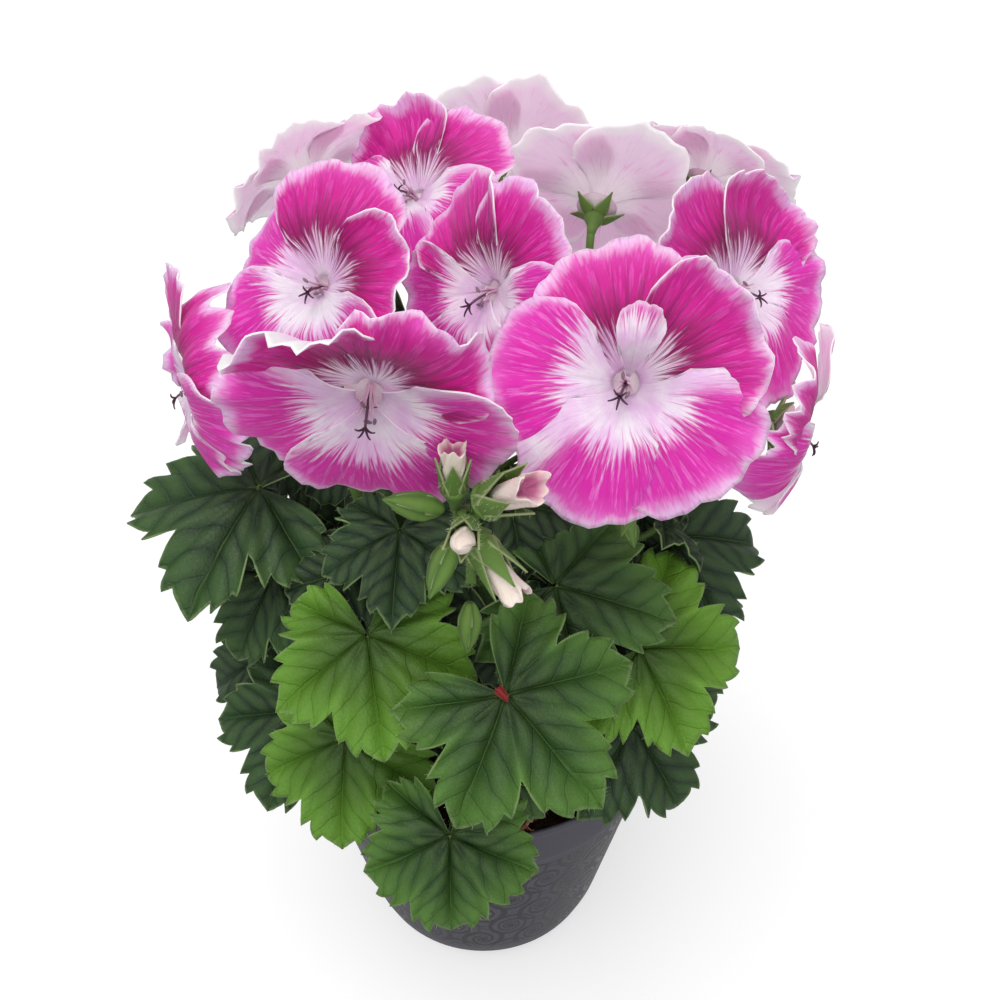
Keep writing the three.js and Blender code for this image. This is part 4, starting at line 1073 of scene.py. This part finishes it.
PETAL_LENGTH = 30
PETAL_THICKNESS = 0.35
PETAL_HALF_ANGLE = 56
FUNNEL_SHARE = 0.42
CUP_DEPTH = 5.6
REFLEX = 3
WAVES = 3
WAVE_HEIGHT = 1.6
ROOT_SHARE = 0.09
PETAL_ROWS = 25
PETAL_COLUMNS = 33
PETALS = [(109, 2.2), (37, 1.1), (-36, 0), (-108, 2.2), (180, 3.3)]
THROAT_PROFILE = [(1.4, -1.5), (2.4, -0.9), (3.8, 0.5), (5.4, 1.5), (5.0, 2.0), (2.4, 0.9), (0.8, 0.3)]
THROAT_SIDES = 20
STAMENS = 7
STAMEN_RADII = [0.34, 0.26, 0.2]
ANTHER_RADII = [0.2, 0.38, 0.4, 0.2]
ANTHER_HALF = 0.8
STYLE_RADII = [0.34, 0.3, 0.28]
STYLE_TIPS = 5
STYLE_TIP_RADII = [0.26, 0.24, 0.14]
STYLE_TIP_REACH = 2.1


def face_height(share, angle, lean, phase):
    """Height of the open flower's face over its throat: a funnel, then a wide rim that bends back, waves,
    and leans forward at the flower's top."""
    funnel = CUP_DEPTH * np.clip(share / FUNNEL_SHARE, 0, 1)
    out = np.clip((share - FUNNEL_SHARE) / (1 - FUNNEL_SHARE), 0, 1.3)
    forward = lean * (1 + np.cos(angle)) / 2
    wave = WAVE_HEIGHT * np.sin(WAVES * angle + phase)
    corner = 0.5 * np.exp(-(((share - FUNNEL_SHARE) / 0.07) ** 2))
    return funnel - corner + out * (forward - REFLEX + wave)


def ruffle(share, angle, seed):
    """The crimped edge that all petals of a flower share, so that they ripple together."""
    rng = np.random.default_rng(seed)
    grown = np.clip((share - 0.45) / 0.55, 0, 1.2)
    total = 0
    for waves, height in ((5, 0.8), (9, 0.9), (14, 0.75), (21, 0.5), (33, 0.25)):
        bunched = angle + 0.25 * np.sin(3 * angle + rng.uniform(0, 6.3))
        total = total + height * np.sin(waves * bunched + rng.uniform(0, 6.3)) * grown**1.8
    return total


def curled(distance, curvature):
    """How far a strip reaches and how much it rises when it bends this much per millimetre."""
    curvature = np.where(np.abs(curvature) < 1e-5, 1e-5, curvature)
    return np.sin(curvature * distance) / curvature, (1 - np.cos(curvature * distance)) / curvature


# How single petals differ from the plain one: how much the tip and the two sides bend per millimetre,
# from what share of its length, how strongly the edge ruffles, how long the petal is, and to which side
# its colour lies.
ROLLS = {
    "bloom_left_front": {
        0: {"tip": -0.03, "tint": 0.4},
        1: {"tip": -0.12, "frill": 2.0},
        2: {"tip": 0.07, "left": -0.05, "frill": 2.4},
        3: {"tip": -0.05, "tint": 0.6},
        4: {"tip": -0.03, "size": 1.1},
    },
    "bloom_left_top": {
        0: {"tip": 0.08, "left": 0.1, "right": 0.04, "frill": 1.5},
        1: {"tip": -0.02, "frill": 0.8},
        2: {"tip": -0.05, "tint": 0.3},
        4: {"tip": 0.04},
    },
    "bloom_left_side": {
        0: {"tip": -0.06, "start": 0.4, "frill": 1.8},
        1: {"tip": -0.06, "start": 0.4, "frill": 1.8},
        3: {"tip": 0.05, "left": 0.06, "frill": 1.8},
        4: {"tip": -0.05, "start": 0.4, "frill": 2.0},
    },
    "bloom_right_front": {
        0: {"tint": 0.35, "tip": -0.02},
        1: {"tip": 0.05, "left": 0.05, "frill": 1.7},
        2: {"tip": -0.02, "frill": 0.6},
        3: {"tip": -0.03, "left": -0.03},
        4: {"tint": 0.95, "tip": -0.03},
    },
    "bloom_right_top": {
        1: {"tip": 0.09, "left": 0.06, "frill": 1.4},
        2: {"tip": 0.03, "left": -0.05},
    },
    "bloom_right_side": {
        2: {"tip": -0.07, "start": 0.35, "frill": 2.0},
        3: {"tip": -0.07, "start": 0.35, "frill": 2.2},
        4: {"tip": -0.06, "start": 0.4, "left": 0.05, "frill": 2.0},
    },
    "bloom_middle_front": {
        1: {"tip": -0.02, "frill": 0.7},
        2: {"left": 0.1, "right": 0.05, "tip": -0.02},
        3: {"right": 0.08},
    },
    "bloom_middle_left": {2: {"tip": 0.1, "right": 0.07}},
    "bloom_back_left_top": {
        0: {"size": 0.85, "tip": -0.05},
        3: {"size": 0.85, "tip": -0.05},
        4: {"size": 0.8, "tip": -0.05},
    },
    "bloom_back_right_top": {1: {"size": 0.85}, 2: {"size": 0.85}},
}
UPPER_PETALS = {"bloom_left_top": (0, 1)}
# One flower has a sixth, small lobe that stands up in its throat and stays pale for longer.
EXTRA_LOBE = {
    "tip": -0.1,
    "left": 0.2,
    "right": 0.1,
    "frill": 1.5,
    "pale": 0.55,
    "tint": 0.8,
    "spread": 0.5,
    "stand": 10,
}


def add_petal(skin, place_of, turn, lift, upper, length, lean, phase, seed, roll):
    rng = np.random.default_rng(seed)
    length = length * roll.get("size", 1.0)
    a = np.linspace(-1, 1, PETAL_COLUMNS)[None]
    v = np.linspace(0, 1, PETAL_ROWS)[:, None]
    edge = FUNNEL_SHARE + (1 - FUNNEL_SHARE) * (1 - np.abs(a) ** 2.8) ** 0.6
    nicks = 0.024 * np.sin(5 * a + seed) + 0.018 * np.sin(13 * a + 2 * seed) + 0.012 * np.sin(29 * a + seed)
    share = ROOT_SHARE + (edge * (1 + nicks) - ROOT_SHARE) * v
    widening = 0.64 + 0.36 * np.clip((share - ROOT_SHARE) / (FUNNEL_SHARE - ROOT_SHARE), 0, 1) ** 0.8
    half = math.radians(PETAL_HALF_ANGLE * roll.get("spread", 1.0)) * widening
    middle = math.radians(turn)
    angle = middle + a * half
    height = lift + face_height(share, angle, lean, phase) + roll.get("stand", 0.0) * share
    height = height + roll.get("frill", 1.0) * ruffle(share, angle, seed // 10)
    height = height + rng.uniform(-0.7, 1.0) * np.clip(v - 0.55, 0, 1) ** 2 * (1 - a**2) ** 2 * 9
    height = height - 0.5 * np.exp(-((a / 0.1) ** 2)) * np.sin(math.pi * v)
    # The tip and the two sides roll as arcs.
    start = roll.get("start", 0.6)
    reach, rise = curled(length * np.clip(share - start, 0, 1), roll.get("tip", 0.0) + rng.normal(0, 0.015))
    r = length * np.minimum(share, start) + reach
    height = height + rise
    flat = 0.3 * half
    for sign, side in ((-1, "left"), (1, "right")):
        away = np.clip(sign * (angle - middle) - flat, 0, 4) * r
        reach, rise = curled(away, roll.get(side, 0.0) + rng.normal(0, 0.02))
        angle = np.where(away > 0, middle + sign * (flat + reach / np.maximum(r, 1)), angle)
        height = height + rise * np.clip((share - 0.2) / 0.3, 0, 1)
    points = place_of.place(-r * np.sin(angle), -r * np.cos(angle), height)
    uv = np.stack([0.5 + 0.5 * a + 0 * v, share * roll.get("pale", 1.0)], -1)
    rim = np.maximum(v + 0 * a, np.abs(a) ** 6 * np.clip(share / FUNNEL_SHARE, 0, 1))
    tint = roll.get("tint", rng.uniform(0.4, 0.6))
    sheet(skin, points, PETAL_THICKNESS, (0, 1, 1), uv, rim, float(upper), tint)


def add_throat(skin, place_of):
    """The pale funnel that the petals spring from."""
    radius, height = np.array(THROAT_PROFILE).T[..., None]
    points = place_of.place_round(radius, turns_of(THROAT_SIDES), height)
    skin.add(points, round_faces(len(THROAT_PROFILE), THROAT_SIDES), slot=2)


def add_stamens(skin, place_of, seed):
    """Stamens, most of them without their anthers, and a dark style with five thin curled tips."""
    place = place_of.place
    rng = np.random.default_rng(100 + seed)
    for k in range(STAMENS):
        turn = FULL_TURN * k / STAMENS + rng.uniform(-0.2, 0.2)
        out = rng.uniform(1.2, 2.6)
        x, y, z = out * math.sin(turn), 1.0 + out * math.cos(turn), rng.uniform(5.5, 8.5)
        end = place(x, y, z)
        root = place(0.5 * math.sin(turn), 0.5 * math.cos(turn), 1.0)
        tube(skin, bezier(root, place(0.3 * x, 0.3 * y, 5), end), STAMEN_RADII, 6, 12, slot=3, tone=0.05)
        if k % 3 == 0:
            lie = ANTHER_HALF * (place_of.side * math.cos(turn * 2) + place_of.tip * math.sin(turn * 2))
            tube(skin, Curve([end - lie, end, end + lie]), ANTHER_RADII, 8, 8, slot=3, tone=0.75)
    style = bezier(place(0, 0, 1.0), place(0, 0.8, 6.5), place(0, 3.0, 9.6))
    tube(skin, style, STYLE_RADII, 7, 14, slot=3, tone=0.9)
    for k in range(STYLE_TIPS):
        turn = FULL_TURN * k / STYLE_TIPS + seed
        x, y = STYLE_TIP_REACH * math.sin(turn), STYLE_TIP_REACH * math.cos(turn)
        branch = bezier(place(0, 2.9, 9.5), place(0.5 * x, 3.6 + 0.5 * y, 10.8), place(x, 3.6 + y, 10.4))
        tube(skin, branch, STYLE_TIP_RADII, 6, 10, slot=3, tone=1.0)


def streaks(recipe, scale, seed):
    """Fine lines that run out along a petal, with their values near 0 to 1."""
    u, v, _ = recipe.split(recipe.place("UV"))
    fan = {0: (u - 0.5) * scale, 1: v * (scale * 0.07), 2: seed}
    return recipe.noise(1.0, 3, 0.6, where=recipe.node("ShaderNodeCombineXYZ", 0, fan))


petal_front, recipe = new_material(
    "petal_face",
    Roughness=0.55,
    Specular_IOR_Level=0.25,
    Sheen_Weight=0.1,
    Subsurface_Weight=0.35,
    Subsurface_Scale=0.0012,
    Subsurface_Radius=(1.0, 0.45, 0.75),
)
upper, rim = recipe.attribute("tone"), recipe.attribute("rim")
u, v, _ = recipe.split(recipe.place("UV"))
off_middle = abs(u - 0.5 + (recipe.attribute("tint") - 0.5) * 0.55) * 2.0
lines, broad = streaks(recipe, 52, 1.0), streaks(recipe, 15, 5.0)
cloud = recipe.noise(120, 3, 0.55)
feather = (lines - 0.5) * 0.7 + (broad - 0.5) * 0.4
feathered = v + feather
# The blotch starts at the throat, sooner on the upper petals, and thins out before the pale edge.
inner = (feathered - (upper * -0.13 + 0.43)).rise(-0.1, 0.14)
margin = (rim + (cloud - 0.5) * 0.3 + (lines - 0.5) * 0.35).rise(1.03, 0.84)
sides = (off_middle + feather * 0.8 - upper * 0.2).rise(1.02, 0.76)
blotch = inner * margin * sides
deep = recipe.mix(upper, colour(222, 44, 174), colour(204, 22, 146))
light = recipe.mix(upper, colour(244, 128, 216), colour(236, 96, 200))
deep = recipe.mix(lines.rise(0.5, 0.36) * 0.65, deep, light)
deep = recipe.mix(v.rise(0.72, 0.95) * 0.4, deep, light)
deep = recipe.mix(feathered.rise(0.72, 0.42) * (upper * 0.7 + 0.14), deep, colour(132, 2, 78))
pale = recipe.mix(cloud.rise(0.35, 0.65), colour(252, 234, 250), colour(240, 198, 238))
pale = recipe.mix(lines.rise(0.52, 0.66) * v.rise(0.3, 0.55) * 0.6, pale, colour(228, 120, 204))
base = recipe.mix(blotch, pale, deep)
# Dark veins fan out of the throat of the upper petals.
fan = abs(recipe.math("FRACT", u * 13.0 + broad * 1.6) - 0.5)
spoke = fan.rise(0.17, 0.06) * v.rise(0.6, 0.4) * (v + broad * 0.2).rise(0.26, 0.36)
base = recipe.mix(spoke * (upper * 0.72 + 0.05), base, colour(104, 8, 84))
vein = fan.rise(0.2, 0.03) * v.rise(0.95, 0.5) * blotch
base = recipe.mix(vein * (upper * 0.5 + 0.2), base, colour(138, 6, 96))
recipe.shade(Base_Color=base, Normal=recipe.bump(lines + cloud * 0.5, 0.7, 0.6))

# Daylight comes through the thin petals from their far side, and their backs glow weakly in their own colour:
# a painted glow, emission that stands in for that light.
petal_back, recipe = new_material(
    "petal_reverse",
    Roughness=0.6,
    Specular_IOR_Level=0.25,
    Sheen_Weight=0.1,
    Subsurface_Weight=0.9,
    Subsurface_Scale=0.003,
    Subsurface_Radius=(1.0, 0.95, 1.0),
    Emission_Strength=0.17,
)
rim = recipe.attribute("rim")
along = recipe.split(recipe.place("UV"))[1]
lines = streaks(recipe, 46, 1.0)
blush = along.rise(0.25, 0.55) * rim.rise(0.98, 0.8) * 0.75
base = recipe.mix(blush, colour(255, 240, 251), colour(246, 188, 234))
base = recipe.mix(lines.rise(0.55, 0.68) * rim.rise(1.0, 0.6) * 0.5, base, colour(222, 132, 196))
# The emission in the petal's own colour is the painted glow.
recipe.shade(Base_Color=base, Emission_Color=base, Normal=recipe.bump(lines, 0.6, 0.5))

throat_matter, recipe = new_material(
    "flower_throat", Roughness=0.6, Subsurface_Weight=0.15, Subsurface_Scale=0.001
)
recipe.shade(Base_Color=mottled(recipe, colour(230, 218, 222), 700, 0.3))

stamen_matter, recipe = new_material("stamens", Roughness=0.5)
recipe.shade(Base_Color=recipe.mix(recipe.attribute("tone"), colour(232, 190, 214), colour(64, 14, 52)))

for name, _, at, face, spin, size, lean, seed in BLOOMS:
    skin = Skin()
    place_of = Facing(at, face, spin)
    random = seeded_random(seed)
    phase = FULL_TURN * next(random)
    for k, (turn, lift) in enumerate(PETALS):
        length = PETAL_LENGTH * size * (0.95 + 0.1 * next(random))
        swung = turn + 6 * (next(random) - 0.5)
        upper = k in UPPER_PETALS.get(name, (1, 2))
        roll = ROLLS.get(name, {}).get(k, {})
        add_petal(skin, place_of, swung, lift, upper, length, lean, phase, 10 * seed + k, roll)
    if name == "bloom_right_front":
        add_petal(skin, place_of, -12, 4, False, 16, 0, phase, 8, EXTRA_LOBE)
    add_throat(skin, place_of)
    add_stamens(skin, place_of, seed)
    finishes = [petal_front, petal_back, throat_matter, stamen_matter]
    flower = skin.build(name.replace("bloom", "flower"), finishes)
    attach(flower, "root")
    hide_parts(name)


# Coloured buds
# Flowers about to open in the front head: petals still wound round one another, cream and pale pink
# with pink lines, showing between the green sepals.

BUD_PINKNESS = {"bud_pink": 0.2, "bud_upright": 0.05, "bud_facing": 0.0, "bud_right": 0.1}

bud_petals, recipe = new_material(
    "wound_petals",
    Roughness=0.5,
    Specular_IOR_Level=0.3,
    Sheen_Weight=0.12,
    Subsurface_Weight=0.2,
    Subsurface_Scale=0.0012,
    Subsurface_Radius=(1.0, 0.5, 0.7),
)
lines = streaks(recipe, 40, 3.0)
base = recipe.mix(recipe.attribute("tone"), colour(250, 238, 222), colour(246, 206, 222))
base = recipe.mix(lines.rise(0.5, 0.7) * 0.3, base, colour(222, 140, 180))
base = recipe.mix(recipe.attribute("rim").rise(0.14, 0.0) * 0.5, base, colour(206, 150, 172))
base = recipe.mix(recipe.attribute("tint") * 0.85, base, colour(178, 40, 128))
recipe.shade(Base_Color=base, Normal=recipe.bump(lines, 0.4, 0.3))

for name, _, at, face, size in BUDS:
    skin = Skin()
    points, wound, t, inside = petal_roll(Facing(at, face), size, name != "bud_facing")
    uv = np.stack([wound, t + 0 * wound], -1)
    skin.add(points, round_faces(*wound.shape), uv=uv, rim=wound, tone=BUD_PINKNESS[name], tint=inside)
    bud = skin.build(name.replace("bud", "opening_bud"), [bud_petals])
    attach(bud, "root")
    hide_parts(name)


# Room
# A wide pale floor under a plain white sky, two broad soft lights from above and in front, and the
# camera at the photograph's place.

FLOOR_HALF = 30
SKY_STRENGTH = (0.46, 0.56)
LENS = 33
SENSOR_WIDTH = 36
CAMERA_PLACE = (5.8, -239, 302)
CAMERA_TILT = 60

room_white, recipe = new_material(
    "studio_white", Roughness=0.9, Specular_IOR_Level=0.0, Emission_Strength=0.55
)
recipe.shade(
    Base_Color=mottled(recipe, colour(190, 190, 190), 2, 0.01),
    Emission_Color=mottled(recipe, colour(255, 255, 255), 2, 0.01),
)
corners = [(x * FLOOR_HALF, y * FLOOR_HALF, 0) for x, y in ((-1, -1), (1, -1), (1, 1), (-1, 1))]
floor_mesh = bpy.data.meshes.new("floor")
floor_mesh.from_pydata(corners, [], [(0, 1, 2, 3)])
floor_mesh.materials.append(room_white)
floor = bpy.data.objects.new("floor", floor_mesh)
bpy.context.scene.collection.objects.link(floor)
floor.visible_diffuse = False
floor.visible_glossy = False

# The sky lights the plant softly, brighter from above, and is seen as plain white.
scene = bpy.context.scene
scene.world = bpy.data.worlds.new("studio")
scene.world.use_nodes = True
recipe = Recipe(scene.world.node_tree)
backdrop = scene.world.node_tree.nodes["Background"]
seen = recipe.node("ShaderNodeLightPath", "Is Camera Ray")
sky = recipe.split(recipe.place("Generated"))[2].rise(-0.5, 0.5).span(*SKY_STRENGTH)
recipe.feed(backdrop.inputs["Strength"], recipe.math("MAXIMUM", sky, seen))
backdrop.inputs["Color"].default_value = (1, 1, 1, 1)


def soft_light(name, towards, angle, power):
    """A broad distant light that shines towards a direction."""
    lamp = bpy.data.lights.new(name, "SUN")
    lamp.angle = math.radians(angle)
    lamp.energy = power
    light = bpy.data.objects.new(name, lamp)
    light.rotation_euler = Vector(towards).to_track_quat("-Z", "Y").to_euler()
    scene.collection.objects.link(light)


soft_light("overhead softbox", (0.2, 0.4, -1.0), 45, 1.55)
soft_light("front softbox", (-0.15, 1.0, -0.15), 60, 0.95)

camera_data = bpy.data.cameras.new("camera")
camera_data.lens = LENS
camera_data.sensor_width = SENSOR_WIDTH
camera_data.clip_start = 0.01
camera = bpy.data.objects.new("camera", camera_data)
camera.location = [value * MM for value in CAMERA_PLACE]
camera.rotation_euler = (math.radians(CAMERA_TILT), 0, 0)
scene.collection.objects.link(camera)
scene.camera = camera
scene.view_settings.view_transform = "Standard"
scene.view_settings.look = "None"
